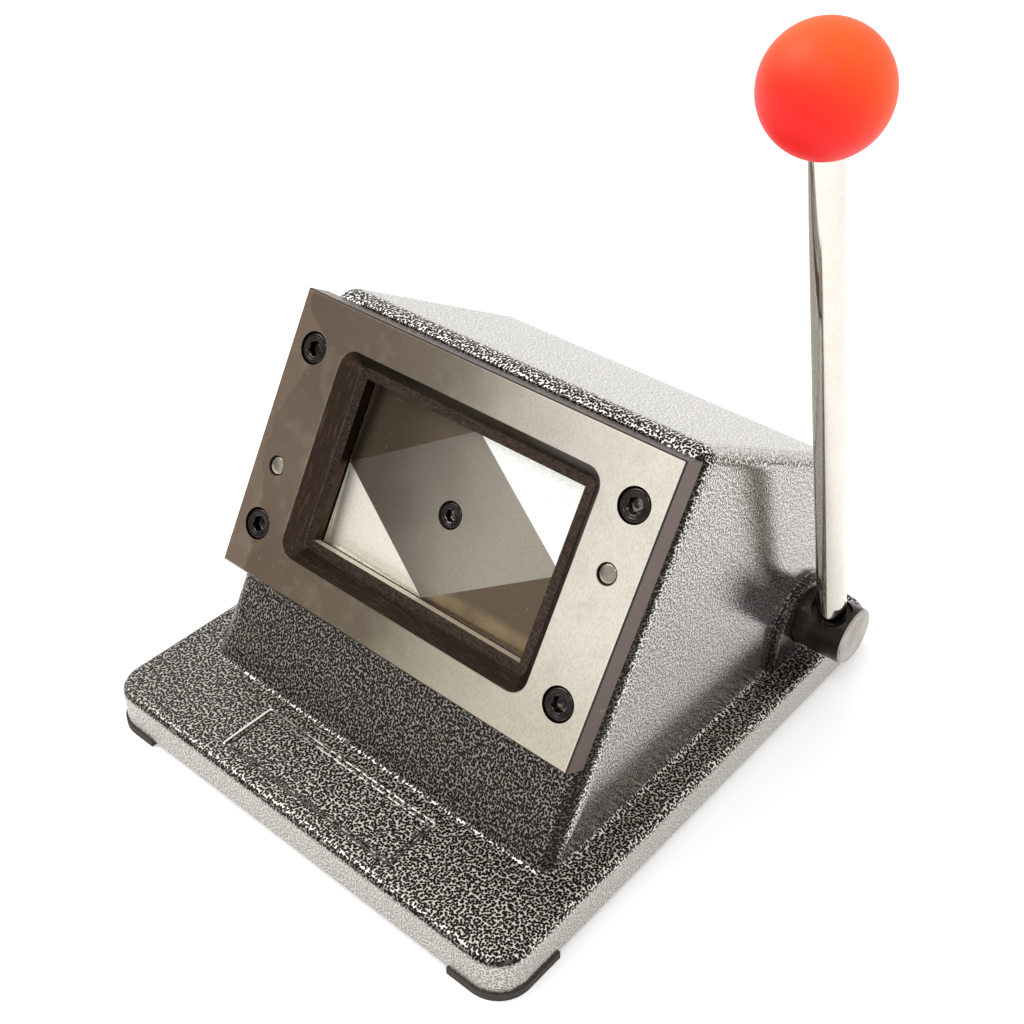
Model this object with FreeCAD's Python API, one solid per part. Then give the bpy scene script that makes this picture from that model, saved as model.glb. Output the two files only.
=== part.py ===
"""Bench card cutter: a cast housing on a base slab, a sloping die plate, and a lever-driven punch.

Units are millimetres. X runs to the right, Y to the back, Z up, and the feet stand on Z = 0.
The origin is under the middle of the whole cutter's outline.
"""
import FreeCAD
import Part
import math
import os

from FreeCAD import Placement, Rotation, Vector

# ---------------------------------------------------------------- driving dimensions

# card, and the die opening and window round it
card_width = 86.0
card_height = 55.0
land_width = 3.1
land_radius = 2.2
window_slope_x = 4.9
window_slope_y = 4.3
window_depth = 6.0
window_radius = 6.0

# die plate round the window
plate_rim_x = 21.3
plate_rim_y = 11.95
plate_thickness = 9.5
plate_chamfer = 0.7
plate_screw_size = 6.0
plate_screw_length = 22.0
plate_screw_edge_x = 9.8
plate_screw_edge_y = 16.85
plate_pin_size = 6.0
plate_pin_length = 24.0
plate_pin_edge_x = 10.1
plate_pin_y = 9.7
plate_pin_proud = 0.15

# housing: its sloping face, its falling top and its walls
face_angle = 60.0
plate_up_face = 34.45
ridge_past_plate = 3.85
top_fall = 29.0
plate_past_left_wall = 0.1
right_wall_past_plate = 2.1
back_past_shaft = 16.85
rear_draft_run = 7.0
side_draft = 0.6
housing_ridge_radius = 7.5
housing_corner_radius = 6.0
housing_foot_radius = 2.0
front_wall = 9.0
top_wall = 7.0
rear_wall = 5.0
side_wall = 7.0

# base slab, its blank panel and its feet
base_thickness = 13.2
base_side_ledge = 11.85
base_rear_ledge = 13.0
base_corner_radius = 11.0
base_edge_radius = 2.6
panel_width = 73.0
panel_depth = 20.0
panel_sink = 0.5
panel_to_housing = 6.0
panel_to_edge = 7.0
foot_thickness = 2.8
foot_width = 21.0
foot_depth = 25.0
foot_overhang = 0.7
rear_foot_inset = 5.0

# sheet slot behind the die plate, open at the top
slot_gap = 1.2
slot_past_card_x = 15.0
slot_below_card = 5.5

# stripper plate round the punch
stripper_rim_x = 12.0
stripper_rim_y = 4.0
stripper_thickness = 7.0
stripper_radius = 3.0
stripper_fit = 0.1
stripper_screw_size = 4.0
stripper_screw_length = 14.0
stripper_screw_edge_x = 5.25
stripper_screw_edge_y = 11.5

# punch and the chamber it rests in
punch_clearance = 0.06
punch_recess = 0.15
punch_length = 22.0
punch_corner_drop = 1.1
punch_screw_size = 5.0
punch_screw_length = 34.0
punch_pin_size = 5.0
punch_pin_length = 14.0
punch_pin_edge = 6.0
chamber_margin = 2.5
punch_rest_gap = 0.1

# guide block and ram
guide_block_wall = 8.0
guide_block_length = 22.0
ram_diameter = 32.0
ram_running_fit = 0.03
bush_wall = 3.0
stroke = 7.5
stop_gap = 0.5
spring_length = 20.0
spring_wire = 2.5
spring_turns = 4.0
spring_clearance = 1.2
spring_end_play = 0.05
seat_rim = 2.3
seat_thickness = 4.0
snap_ring_thickness = 1.5
snap_ring_depth = 1.2
snap_ring_proud = 2.2
snap_ring_gap = 6.0

# follower roller in the ram's fork
roller_behind_seat = 11.15
roller_diameter = 22.0
roller_width = 12.0
roller_bush_wall = 2.0
roller_pin_size = 8.0
fork_play = 0.5
fork_below_pin = 8.0
running_fit = 0.03
clip_thickness = 1.0
clip_proud = 2.5
clip_groove_depth = 1.0
pin_beyond_clip = 1.5

# cross shaft, its bushes and collars, and the cam
shaft_diameter = 20.0
shaft_below_ram = 1.7
shaft_proud = 17.9
shaft_left_inset = 6.0
lever_travel = 72.0
cam_hub_wall = 3.5
cam_hub_length = 23.0
cam_above_hub = 2.5
cam_width = 12.0
cam_gap = 0.2
cam_margin = 9.0
cam_tail = 48.0
cam_pin_size = 5.0
shaft_bush_wall = 3.0
shaft_bush_flange = 3.0
shaft_bush_flange_proud = 1.5
boss_wall = 6.0
arch_wall = 5.3
arch_drop = 4.7
arch_proud = 3.2
arch_edge_radius = 1.4
inner_boss_length = 14.0
outer_lip = 5.4
shaft_mouth_play = 0.5
collar_wall = 4.0
collar_width = 10.0
collar_gap = 0.2
collar_screw_size = 5.0
collar_screw_sink = 1.0
end_cap_thickness = 3.5

# lever rod and ball knob
lever_lean = 16.5
lever_reach = 207.0
lever_from_shaft_end = 8.5
rod_diameter = 9.6
rod_thread_size = 8.0
rod_thread_length = 13.0
rod_mouth_play = 1.95
rod_mouth_depth = 3.5
ball_diameter = 31.5
insert_wall = 2.0
insert_length = 15.0
insert_to_flat = 0.25
rod_in_ball = 12.0

# bottom cover
cover_thickness = 2.0
cover_lap = 10.0
cover_ledge = 13.0
cover_ledge_thickness = 8.0
cover_fit = 0.3
cover_screw_size = 4.0
cover_screw_short = 1.0

# socket screws: head and key sizes as shares of the thread size, and drilled holes
head_ratio = 1.67
key_ratio = 0.82
key_depth_ratio = 0.5
flat_head_ratio = 2.0
flat_key_ratio = 0.6
hole_play = 0.3

# ---------------------------------------------------------------- sizes worked out from them

# die plate and what lies behind it
window_width = card_width + 2 * (land_width + window_slope_x)
window_height = card_height + 2 * (land_width + window_slope_y)
plate_width = window_width + 2 * plate_rim_x
plate_height = window_height + 2 * plate_rim_y
plate_screw_spread_x = plate_width - 2 * plate_screw_edge_x
plate_screw_spread_y = plate_height - 2 * plate_screw_edge_y
plate_pin_x = plate_width / 2 - plate_pin_edge_x
slot_width = card_width + 2 * slot_past_card_x
stripper_width = card_width + 2 * stripper_rim_x
stripper_height = card_height + 2 * stripper_rim_y
stripper_screw_spread_x = stripper_width - 2 * stripper_screw_edge_x
stripper_screw_spread_y = stripper_height - 2 * stripper_screw_edge_y
chamber_width = card_width + 2 * chamber_margin
chamber_height = card_height + 2 * chamber_margin
guide_block_height = chamber_height + 2 * guide_block_wall

# ram, bush, spring and roller
bush_diameter = ram_diameter + 2 * bush_wall
bush_proud = spring_length - stroke - stop_gap
punch_pin_spread = ram_diameter - 2 * punch_pin_edge
spring_outside = bush_diameter + 2 * (spring_clearance + spring_wire)
seat_diameter = spring_outside + 2 * seat_rim
clip_diameter = roller_pin_size + 2 * clip_proud

# distances out of the face, negative inside the housing
window_floor = plate_thickness - window_depth
slot_floor = -slot_gap
slot_bottom = -card_height / 2 - slot_below_card
punch_face = slot_floor - punch_recess
stripper_back = slot_floor - stripper_thickness
punch_back = punch_face - punch_length
chamber_back = punch_back - punch_rest_gap
block_back = chamber_back - guide_block_length
seat_front = block_back - spring_length
seat_back = seat_front - seat_thickness
roller_centre = seat_back - roller_behind_seat
ram_end = roller_centre - fork_below_pin

# shaft and cam
cam_hub_diameter = shaft_diameter + 2 * cam_hub_wall
cam_base_radius = cam_hub_diameter / 2 + cam_above_hub
cam_rise = stroke / math.radians(lever_travel)
shaft_from_face = cam_base_radius + cam_gap + roller_diameter / 2 - roller_centre
shaft_bush_diameter = shaft_diameter + 2 * shaft_bush_wall
shaft_bush_flange_diameter = shaft_bush_diameter + 2 * shaft_bush_flange_proud
shaft_mouth = shaft_diameter + 2 * shaft_mouth_play
boss_radius = shaft_bush_diameter / 2 + boss_wall
arch_radius = shaft_bush_diameter / 2 + arch_wall
collar_diameter = shaft_diameter + 2 * collar_wall

# housing and base
slope = math.radians(face_angle)
card_up_face = plate_up_face + plate_height / 2
face_length = plate_up_face + plate_height + ridge_past_plate
shaft_behind_foot = (
    (card_up_face - shaft_below_ram) * math.cos(slope) + shaft_from_face * math.sin(slope)
)
housing_reach = shaft_behind_foot + back_past_shaft
housing_left = plate_width / 2 - plate_past_left_wall
housing_right = plate_width / 2 + right_wall_past_plate
housing_setback = panel_to_edge + panel_depth + panel_to_housing
base_width = 2 * (housing_right + base_side_ledge)
base_depth = housing_setback + housing_reach + rear_draft_run + base_rear_ledge
base_bottom = foot_thickness
base_top = foot_thickness + base_thickness
face_foot_y = housing_setback - base_depth / 2
left_inner = -housing_left + side_wall
right_inner = housing_right - side_wall
left_boss_face = left_inner + inner_boss_length
right_boss_face = right_inner - inner_boss_length
left_arch_face = -housing_left - arch_proud
right_arch_face = housing_right + arch_proud
shaft_right_end = right_arch_face + shaft_proud

# lever
insert_diameter = rod_thread_size + 2 * insert_wall
ball_flat_diameter = insert_diameter + 2 * insert_to_flat
rod_mouth_diameter = rod_diameter + 2 * rod_mouth_play
cover_screw_length = cover_thickness + cover_ledge_thickness - cover_screw_short

# ---------------------------------------------------------------- frames

# the face frame: X right, Y up the slope, Z out of the face, its origin behind the card's centre
face_origin = Vector(
    0,
    face_foot_y + card_up_face * math.cos(slope),
    base_top + card_up_face * math.sin(slope),
)
face_frame = Placement(face_origin, Rotation(Vector(1, 0, 0), face_angle))

# the shaft's axis in the cutter's frame
shaft_centre = face_frame.multVec(Vector(0, -shaft_below_ram, -shaft_from_face))
shaft_y = shaft_centre.y
shaft_z = shaft_centre.z

# the lever frame: its origin on the shaft's axis and Z along the rod
lever_x = shaft_right_end - lever_from_shaft_end
lever_tilt = math.radians(lever_lean)
lever_direction = Vector(0, -math.sin(lever_tilt), math.cos(lever_tilt))
lever_frame = Placement(Vector(lever_x, shaft_y, shaft_z), Rotation(Vector(0, 0, 1), lever_direction))

# the middle of the whole outline, from the left feet to the ball
outline_left = -base_width / 2 - foot_overhang
outline_right = lever_x + ball_diameter / 2
outline_middle = Vector((outline_left + outline_right) / 2, 0, 0)


# ---------------------------------------------------------------- shared helpers

def box(low, high):
    """A box between two opposite corners."""
    size = high - low
    return Part.makeBox(size.x, size.y, size.z, low)


def rounded_bar(width, height, radius, bottom, top):
    """A bar along Z with rounded corners, centred on the Z axis."""
    bar = box(Vector(-width / 2, -height / 2, bottom), Vector(width / 2, height / 2, top))
    upright = [e for e in bar.Edges if abs(e.tangentAt(e.FirstParameter).z) > 0.9]
    return bar.makeFillet(radius, upright)


def rounded_outline(width, height, radius, level):
    """A closed wire round a rectangle with rounded corners, at one height."""
    sheet = rounded_bar(width, height, radius, level, level + 1)
    lowest = min(sheet.Faces, key=lambda face: face.CenterOfMass.z)
    return lowest.OuterWire


def rod_x(diameter, left, right, y=0.0, z=0.0):
    """A cylinder along X."""
    return Part.makeCylinder(diameter / 2, right - left, Vector(left, y, z), Vector(1, 0, 0))


def rod_z(diameter, bottom, top, x=0.0, y=0.0):
    """A cylinder along Z."""
    return Part.makeCylinder(diameter / 2, top - bottom, Vector(x, y, bottom))


def tube_z(outer, inner, bottom, top):
    """A tube along Z."""
    return rod_z(outer, bottom, top).cut(rod_z(inner, bottom, top))


def rectangle_corners(spread_x, spread_y):
    """The four corners of a rectangle centred on the origin."""
    return [(i * spread_x / 2, j * spread_y / 2) for i in (-1, 1) for j in (-1, 1)]


def hexagon_bar(across_flats, bottom, top):
    """A hexagonal bar along Z."""
    reach = across_flats / math.sqrt(3)
    turns = [math.radians(60 * i) for i in range(7)]
    corners = [Vector(reach * math.cos(a), reach * math.sin(a), bottom) for a in turns]
    return Part.Face(Part.makePolygon(corners)).extrude(Vector(0, 0, top - bottom))


def cap_screw(size, length, head_top):
    """A socket cap screw along Z with the top of its head at head_top."""
    head = size * head_ratio
    shoulder = head_top - size
    screw = rod_z(head, shoulder, head_top)
    rim = [e for e in screw.Edges if e.BoundBox.ZMin > head_top - 0.01 and len(e.Vertexes) == 1]
    screw = screw.makeChamfer(0.06 * size, rim)
    screw = screw.fuse(rod_z(size, shoulder - length, shoulder))
    return screw.cut(hexagon_bar(key_ratio * size, head_top - key_depth_ratio * size, head_top))


def flat_screw(size, length, head_top):
    """A countersunk socket screw along Z with its flat head level with head_top."""
    head = size * flat_head_ratio
    height = (head - size) / 2
    cone = Part.makeCone(size / 2, head / 2, height, Vector(0, 0, head_top - height))
    screw = cone.fuse(rod_z(size, head_top - length, head_top - (head - size) / 2))
    socket = hexagon_bar(flat_key_ratio * size, head_top - key_depth_ratio * size, head_top)
    return screw.cut(socket)


def cap_screw_hole(size, length, head_top, surface):
    """The counterbore and shank hole that a socket cap screw needs."""
    shoulder = head_top - size
    shank = rod_z(size, shoulder - length - hole_play, shoulder)
    return shank.fuse(rod_z(size * head_ratio + 2 * hole_play, shoulder, surface))


def flat_screw_hole(size, length, head_top):
    """The countersunk hole that a flat screw needs."""
    head = size * flat_head_ratio
    rise = (head - size) / 2
    cone = Part.makeCone(size / 2, head / 2, rise, Vector(0, 0, head_top - rise))
    return cone.fuse(rod_z(size, head_top - length - hole_play, head_top - rise))


def moved(shape, x, y, z=0.0):
    """A copy of a shape, moved."""
    copy = shape.copy()
    copy.translate(Vector(x, y, z))
    return copy


def placed(shape, frame):
    """A copy of a shape, taken from its own frame into the cutter's frame."""
    copy = shape.copy()
    copy.Placement = frame.multiply(copy.Placement)
    return copy


def on_face(shape):
    """A shape drawn in the face frame, put where the sloping face is."""
    return placed(shape, face_frame)


def side_solid(corners, left, right):
    """A solid between two X positions whose side view is a list of (y, z) corners."""
    points = [Vector(left, y, z) for y, z in corners]
    points.append(points[0])
    return Part.Face(Part.makePolygon(points)).extrude(Vector(right - left, 0, 0))


def inset_corners(corners, walls):
    """Corners of a side view moved inwards, each side by its own wall."""
    lines = []
    count = len(corners)
    for i in range(count):
        (y0, z0), (y1, z1) = corners[i], corners[(i + 1) % count]
        length = math.hypot(y1 - y0, z1 - z0)
        normal = ((z1 - z0) / length, -(y1 - y0) / length)
        lines.append((normal, normal[0] * y0 + normal[1] * z0 + walls[i]))
    inner = []
    for i in range(count):
        (a, c), (b, d) = lines[i - 1], lines[i]
        cross = a[0] * b[1] - a[1] * b[0]
        inner.append(((c * b[1] - d * a[1]) / cross, (a[0] * d - b[0] * c) / cross))
    return inner


# ---------------------------------------------------------------- casting

def housing_corners():
    """Side view of the housing: front foot, ridge, back edge of the top, rear foot."""
    ridge_y = face_foot_y + face_length * math.cos(slope)
    ridge_z = base_top + face_length * math.sin(slope)
    back_y = face_foot_y + housing_reach
    back_z = ridge_z - (back_y - ridge_y) * math.tan(math.radians(top_fall))
    return [
        (face_foot_y, base_top),
        (ridge_y, ridge_z),
        (back_y, back_z),
        (back_y + rear_draft_run, base_top),
    ]


def cavity_corners():
    """Side view of the hollow, inside the walls and down to the cover's ledge."""
    drop = base_thickness - cover_ledge_thickness
    return inset_corners(housing_corners(), (front_wall, top_wall, rear_wall, -drop))


def base_slab():
    """The slab with rounded corners and a rounded top edge."""
    slab = rounded_bar(base_width, base_depth, base_corner_radius, base_bottom, base_top)
    top = [e for e in slab.Edges if e.BoundBox.ZMin > base_top - 0.01]
    return slab.makeFillet(base_edge_radius, top)


def drafted_walls():
    """A tall block whose left and right sides lean in by the casting's draft."""
    height = face_length
    lean = height * math.tan(math.radians(side_draft))
    corners = [
        (-housing_left, base_top), (housing_right, base_top),
        (housing_right - lean, base_top + height), (-housing_left + lean, base_top + height),
    ]
    points = [Vector(x, -base_depth, z) for x, z in corners]
    points.append(points[0])
    return Part.Face(Part.makePolygon(points)).extrude(Vector(0, 2 * base_depth, 0))


def housing_block():
    """The housing's outer shape, its long edges rounded."""
    block = side_solid(housing_corners(), -housing_left, housing_right).common(drafted_walls())
    across = [e for e in block.Edges if e.BoundBox.ZMin > base_top + 1 and e.BoundBox.ZLength < 0.01]
    block = block.makeFillet(housing_ridge_radius, across)
    sides = [
        edge for edge in block.Edges
        if edge.BoundBox.ZMax > base_top + 1 and edge.BoundBox.XLength < housing_left / 2
    ]
    return block.makeFillet(housing_corner_radius, sides)


def arch_pad(left, right):
    """An arch over the shaft that stands on the base, its middle a little below the shaft."""
    middle_z = shaft_z - arch_drop
    arch = rod_x(2 * arch_radius, left, right, shaft_y, middle_z)
    leg_foot = Vector(left, shaft_y - arch_radius, base_top - 1)
    leg_top = Vector(right, shaft_y + arch_radius, middle_z)
    return arch.fuse(box(leg_foot, leg_top))


def outer_arch(left, right, outer_face):
    """An arch pad on the outside of a side wall, its rim eased."""
    pad = arch_pad(left, right)
    rim = [e for e in pad.Edges if abs(e.BoundBox.XMin - outer_face) < 0.01 and e.BoundBox.XLength < 0.01
           and e.BoundBox.ZMax > base_top]
    return pad.makeFillet(arch_edge_radius, rim)


def bottom_bounds(margin):
    """Low and high corners of the opening under the hollow, grown by a margin."""
    corners = cavity_corners()
    inset = cover_ledge - margin
    low = (left_inner + inset, corners[0][0] + inset)
    high = (right_inner - inset, corners[3][0] - inset)
    return low, high


def bottom_slab(margin, bottom, top):
    """A flat block as large as the opening under the hollow, grown by a margin."""
    low, high = bottom_bounds(margin)
    return box(Vector(low[0], low[1], bottom), Vector(high[0], high[1], top))


def cover_screw_places():
    """Three screws along each side of the cover, in the middle of its lap."""
    low, high = bottom_bounds(cover_lap / 2)
    rows = (low[1], (low[1] + high[1]) / 2, high[1])
    return [(x, y) for x in (low[0], high[0]) for y in rows]


def hollow():
    """The space inside the housing, with an opening downwards."""
    space = side_solid(cavity_corners(), left_inner, right_inner)
    return space.fuse(bottom_slab(0, base_bottom, base_top))


def guide_block():
    """The solid block behind the face that holds the punch chamber and the ram's bush."""
    block = box(
        Vector(left_inner - side_wall / 2, -guide_block_height / 2, block_back),
        Vector(right_inner + side_wall / 2, guide_block_height / 2, -front_wall / 2),
    )
    return on_face(block)


def shaft_bosses():
    """Round bosses inside both side walls, trimmed to the housing's outline."""
    left = rod_x(2 * boss_radius, left_inner - side_wall / 2, left_boss_face, shaft_y, shaft_z)
    right = rod_x(2 * boss_radius, right_boss_face, right_inner + side_wall / 2, shaft_y, shaft_z)
    corners = inset_corners(housing_corners(), (1, 1, 1, -base_thickness / 2))
    outline = side_solid(corners, -housing_left, housing_right)
    return left.fuse(right).common(outline)


def face_cuts():
    """Slot, stripper pocket, punch chamber, bores and screw holes of the sloping face."""
    ridge = face_length - card_up_face
    slot = box(
        Vector(-slot_width / 2, slot_bottom, slot_floor),
        Vector(slot_width / 2, ridge + 1, 1),
    )
    pocket = rounded_bar(
        stripper_width + 2 * stripper_fit, stripper_height + 2 * stripper_fit,
        stripper_radius + stripper_fit, stripper_back, slot_floor + 0.1,
    )
    chamber = rounded_bar(
        chamber_width, chamber_height, stripper_radius, chamber_back, stripper_back + 0.1,
    )
    bore = rod_z(bush_diameter, block_back - 1, chamber_back + 0.1)
    cuts = slot.fuse([pocket, chamber, bore])
    tap_bottom = plate_thickness - plate_screw_size - plate_screw_length - hole_play
    tap = rod_z(plate_screw_size, tap_bottom, 1)
    for x, y in rectangle_corners(plate_screw_spread_x, plate_screw_spread_y):
        cuts = cuts.fuse(moved(tap, x, y))
    pin = rod_z(plate_pin_size, plate_thickness + plate_pin_proud - plate_pin_length - hole_play, 1)
    for side in (-1, 1):
        cuts = cuts.fuse(moved(pin, side * plate_pin_x, side * plate_pin_y))
    small_tap_bottom = slot_floor - stripper_screw_length - hole_play
    small_tap = rod_z(stripper_screw_size, small_tap_bottom, stripper_back + 0.1)
    for x, y in rectangle_corners(stripper_screw_spread_x, stripper_screw_spread_y):
        cuts = cuts.fuse(moved(small_tap, x, y))
    return on_face(cuts)


def shaft_cuts():
    """Bush bores from inside, and the shaft's way out through both side walls."""
    left_lip = left_arch_face + outer_lip
    right_lip = right_arch_face - outer_lip
    left_bore = rod_x(shaft_bush_diameter, left_lip, left_boss_face + 1, shaft_y, shaft_z)
    right_bore = rod_x(shaft_bush_diameter, right_boss_face - 1, right_lip, shaft_y, shaft_z)
    way = rod_x(shaft_mouth, left_arch_face - 1, right_arch_face + 1, shaft_y, shaft_z)
    return left_bore.fuse([right_bore, way])


def cover_cuts():
    """The recess for the bottom cover and its screw holes."""
    recess = bottom_slab(cover_lap + cover_fit, base_bottom, base_bottom + cover_thickness)
    hole = rod_z(cover_screw_size, base_bottom, base_bottom + cover_screw_length + hole_play)
    return recess.fuse([moved(hole, x, y) for x, y in cover_screw_places()])


def blank_panel():
    """The bare, slightly sunk panel on the base in front of the housing."""
    back = face_foot_y - panel_to_housing
    return box(
        Vector(-panel_width / 2, back - panel_depth, base_top - panel_sink),
        Vector(panel_width / 2, back, base_top + 1),
    )


def body_casting():
    """The one iron casting: base slab, hollow housing, arches, bosses and guide block."""
    outside = base_slab().fuse(housing_block())
    foot_edges = [
        e for e in outside.Edges
        if abs(e.BoundBox.ZMin - base_top) < 0.01 and e.BoundBox.ZLength < 0.01
        and e.BoundBox.XMin > -housing_left - 0.1 and e.BoundBox.XMax < housing_right + 0.1
        and e.BoundBox.YMin > face_foot_y - 0.1
    ]
    outside = outside.makeFillet(housing_foot_radius, foot_edges)
    right_arch = outer_arch(housing_right - side_wall / 2, right_arch_face, right_arch_face)
    left_arch = outer_arch(left_arch_face, -housing_left + side_wall / 2, left_arch_face)
    outside = outside.fuse([right_arch, left_arch])
    shell = outside.cut(hollow())
    casting = shell.fuse([guide_block(), shaft_bosses()])
    for tool in (face_cuts(), shaft_cuts(), cover_cuts(), blank_panel()):
        casting = casting.cut(tool)
    return casting.removeSplitter()


def bottom_cover():
    """The sheet-steel plate that closes the casting from below."""
    plate = bottom_slab(cover_lap, base_bottom, base_bottom + cover_thickness)
    hole = rod_z(cover_screw_size + 2 * hole_play, base_bottom, base_bottom + cover_thickness)
    for x, y in cover_screw_places():
        plate = plate.cut(moved(hole, x, y))
    return plate


def cover_screws():
    """Six low-headed screws under the bottom cover, upside down."""
    head_diameter = cover_screw_size * flat_head_ratio
    head_height = foot_thickness / 2
    key_width = flat_key_ratio * cover_screw_size
    key = hexagon_bar(key_width, base_bottom - head_height, base_bottom - head_height / 3)
    screws = []
    for x, y in cover_screw_places():
        head = rod_z(head_diameter, base_bottom - head_height, base_bottom, x, y)
        shank = rod_z(cover_screw_size, base_bottom, base_bottom + cover_screw_length, x, y)
        screws.append(head.fuse(shank).cut(moved(key, x, y)))
    return Part.makeCompound(screws)


def rubber_foot(side_x, side_y):
    """A thin rubber pad under one corner of the base; the rear pair stand in from the sides."""
    inset = rear_foot_inset if side_y > 0 else 0
    outline = rounded_bar(
        base_width + 2 * foot_overhang, base_depth + 2 * foot_overhang,
        base_corner_radius + foot_overhang, 0, foot_thickness,
    )
    reach_x = side_x * (base_width / 2 + foot_overhang - inset)
    reach_y = side_y * (base_depth / 2 + foot_overhang)
    xs = sorted((reach_x, reach_x - side_x * (foot_width - inset)))
    ys = sorted((reach_y, reach_y - side_y * foot_depth))
    return outline.common(box(Vector(xs[0], ys[0], 0), Vector(xs[1], ys[1], foot_thickness)))


# ---------------------------------------------------------------- die plate and stripper

def window_cut():
    """The window through the die plate: sloping walls down to a land, then the card opening."""
    outer = rounded_outline(window_width, window_height, window_radius, plate_thickness)
    inner = rounded_outline(
        card_width + 2 * land_width, card_height + 2 * land_width, land_radius, window_floor,
    )
    funnel = Part.makeLoft([inner, outer], True, True)
    opening = box(
        Vector(-card_width / 2, -card_height / 2, -1),
        Vector(card_width / 2, card_height / 2, plate_thickness),
    )
    return funnel.fuse(opening)


def die_plate():
    """The ground steel plate on the face, with its edges chamfered."""
    plate = box(
        Vector(-plate_width / 2, -plate_height / 2, 0),
        Vector(plate_width / 2, plate_height / 2, plate_thickness),
    )
    front = [e for e in plate.Edges if e.BoundBox.ZMin > plate_thickness - 0.01]
    plate = plate.makeChamfer(plate_chamfer, front)
    plate = plate.cut(window_cut())
    hole = cap_screw_hole(plate_screw_size, plate_screw_length, plate_thickness, plate_thickness + 1)
    for x, y in rectangle_corners(plate_screw_spread_x, plate_screw_spread_y):
        plate = plate.cut(moved(hole, x, y))
    pin = rod_z(plate_pin_size, -1, plate_thickness + 1)
    for side in (-1, 1):
        plate = plate.cut(moved(pin, side * plate_pin_x, side * plate_pin_y))
    return on_face(plate)


def die_screws():
    """Four socket cap screws that hold the die plate, their heads level with it."""
    screw = cap_screw(plate_screw_size, plate_screw_length, plate_thickness)
    places = rectangle_corners(plate_screw_spread_x, plate_screw_spread_y)
    return on_face(Part.makeCompound([moved(screw, x, y) for x, y in places]))


def dowel_pins():
    """Two dowels that line the die plate up with the casting, their ends eased."""
    top = plate_thickness + plate_pin_proud
    pin = rod_z(plate_pin_size, top - plate_pin_length, top)
    ends = [e for e in pin.Edges if e.BoundBox.ZLength < 0.01]
    pin = pin.makeChamfer(0.08 * plate_pin_size, ends)
    pins = [moved(pin, side * plate_pin_x, side * plate_pin_y) for side in (-1, 1)]
    return on_face(Part.makeCompound(pins))


def stripper_plate():
    """The plate round the punch that pulls the sheet off it."""
    plate = rounded_bar(stripper_width, stripper_height, stripper_radius, stripper_back, slot_floor)
    opening = box(
        Vector(-card_width / 2, -card_height / 2, stripper_back - 1),
        Vector(card_width / 2, card_height / 2, slot_floor + 1),
    )
    plate = plate.cut(opening)
    hole = flat_screw_hole(stripper_screw_size, stripper_screw_length, slot_floor)
    for x, y in rectangle_corners(stripper_screw_spread_x, stripper_screw_spread_y):
        plate = plate.cut(moved(hole, x, y))
    return on_face(plate)


def stripper_screws():
    """Four countersunk screws that hold the stripper plate."""
    screw = flat_screw(stripper_screw_size, stripper_screw_length, slot_floor)
    places = rectangle_corners(stripper_screw_spread_x, stripper_screw_spread_y)
    return on_face(Part.makeCompound([moved(screw, x, y) for x, y in places]))


# ---------------------------------------------------------------- punch and ram

def corner_facet(side_x, side_y, half_width, half_height):
    """A wedge that slopes one corner of the punch's face back to its lowest point."""
    cut_corner = Vector(side_x * half_width, side_y * half_height, punch_face - punch_corner_drop)
    on_side = Vector(side_x * half_width, 0, punch_face)
    on_end = Vector(0, side_y * half_height, punch_face)
    normal = (on_side - cut_corner).cross(on_end - cut_corner)
    if normal.z < 0:
        normal = -normal
    reach = 4 * half_width
    block = box(Vector(-reach / 2, -reach / 2, 0), Vector(reach / 2, reach / 2, reach))
    return placed(block, Placement(on_side, Rotation(Vector(0, 0, 1), normal)))


def punch():
    """The punch block: a flat diamond on its face, with four corners sloping back."""
    half_width = card_width / 2 - punch_clearance
    half_height = card_height / 2 - punch_clearance
    block = box(
        Vector(-half_width, -half_height, punch_back),
        Vector(half_width, half_height, punch_face),
    )
    for side_x in (-1, 1):
        for side_y in (-1, 1):
            block = block.cut(corner_facet(side_x, side_y, half_width, half_height))
    hole = cap_screw_hole(punch_screw_size, punch_screw_length, punch_face, punch_face + 1)
    pin = rod_z(punch_pin_size, punch_back - 1, punch_back + punch_pin_length / 2)
    pins = [moved(pin, side * punch_pin_spread / 2, 0) for side in (-1, 1)]
    return on_face(block.cut(hole).cut(Part.makeCompound(pins)))


def punch_screw():
    """The socket cap screw in the middle of the punch's face."""
    return on_face(cap_screw(punch_screw_size, punch_screw_length, punch_face))


def punch_pins():
    """Two dowels between the punch and the ram."""
    pin = rod_z(punch_pin_size, punch_back - punch_pin_length / 2, punch_back + punch_pin_length / 2)
    pins = [moved(pin, side * punch_pin_spread / 2, 0) for side in (-1, 1)]
    return on_face(Part.makeCompound(pins))


def snap_ring_bounds():
    """Back and front of the snap ring behind the spring seat."""
    return seat_back - snap_ring_thickness, seat_back


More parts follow.
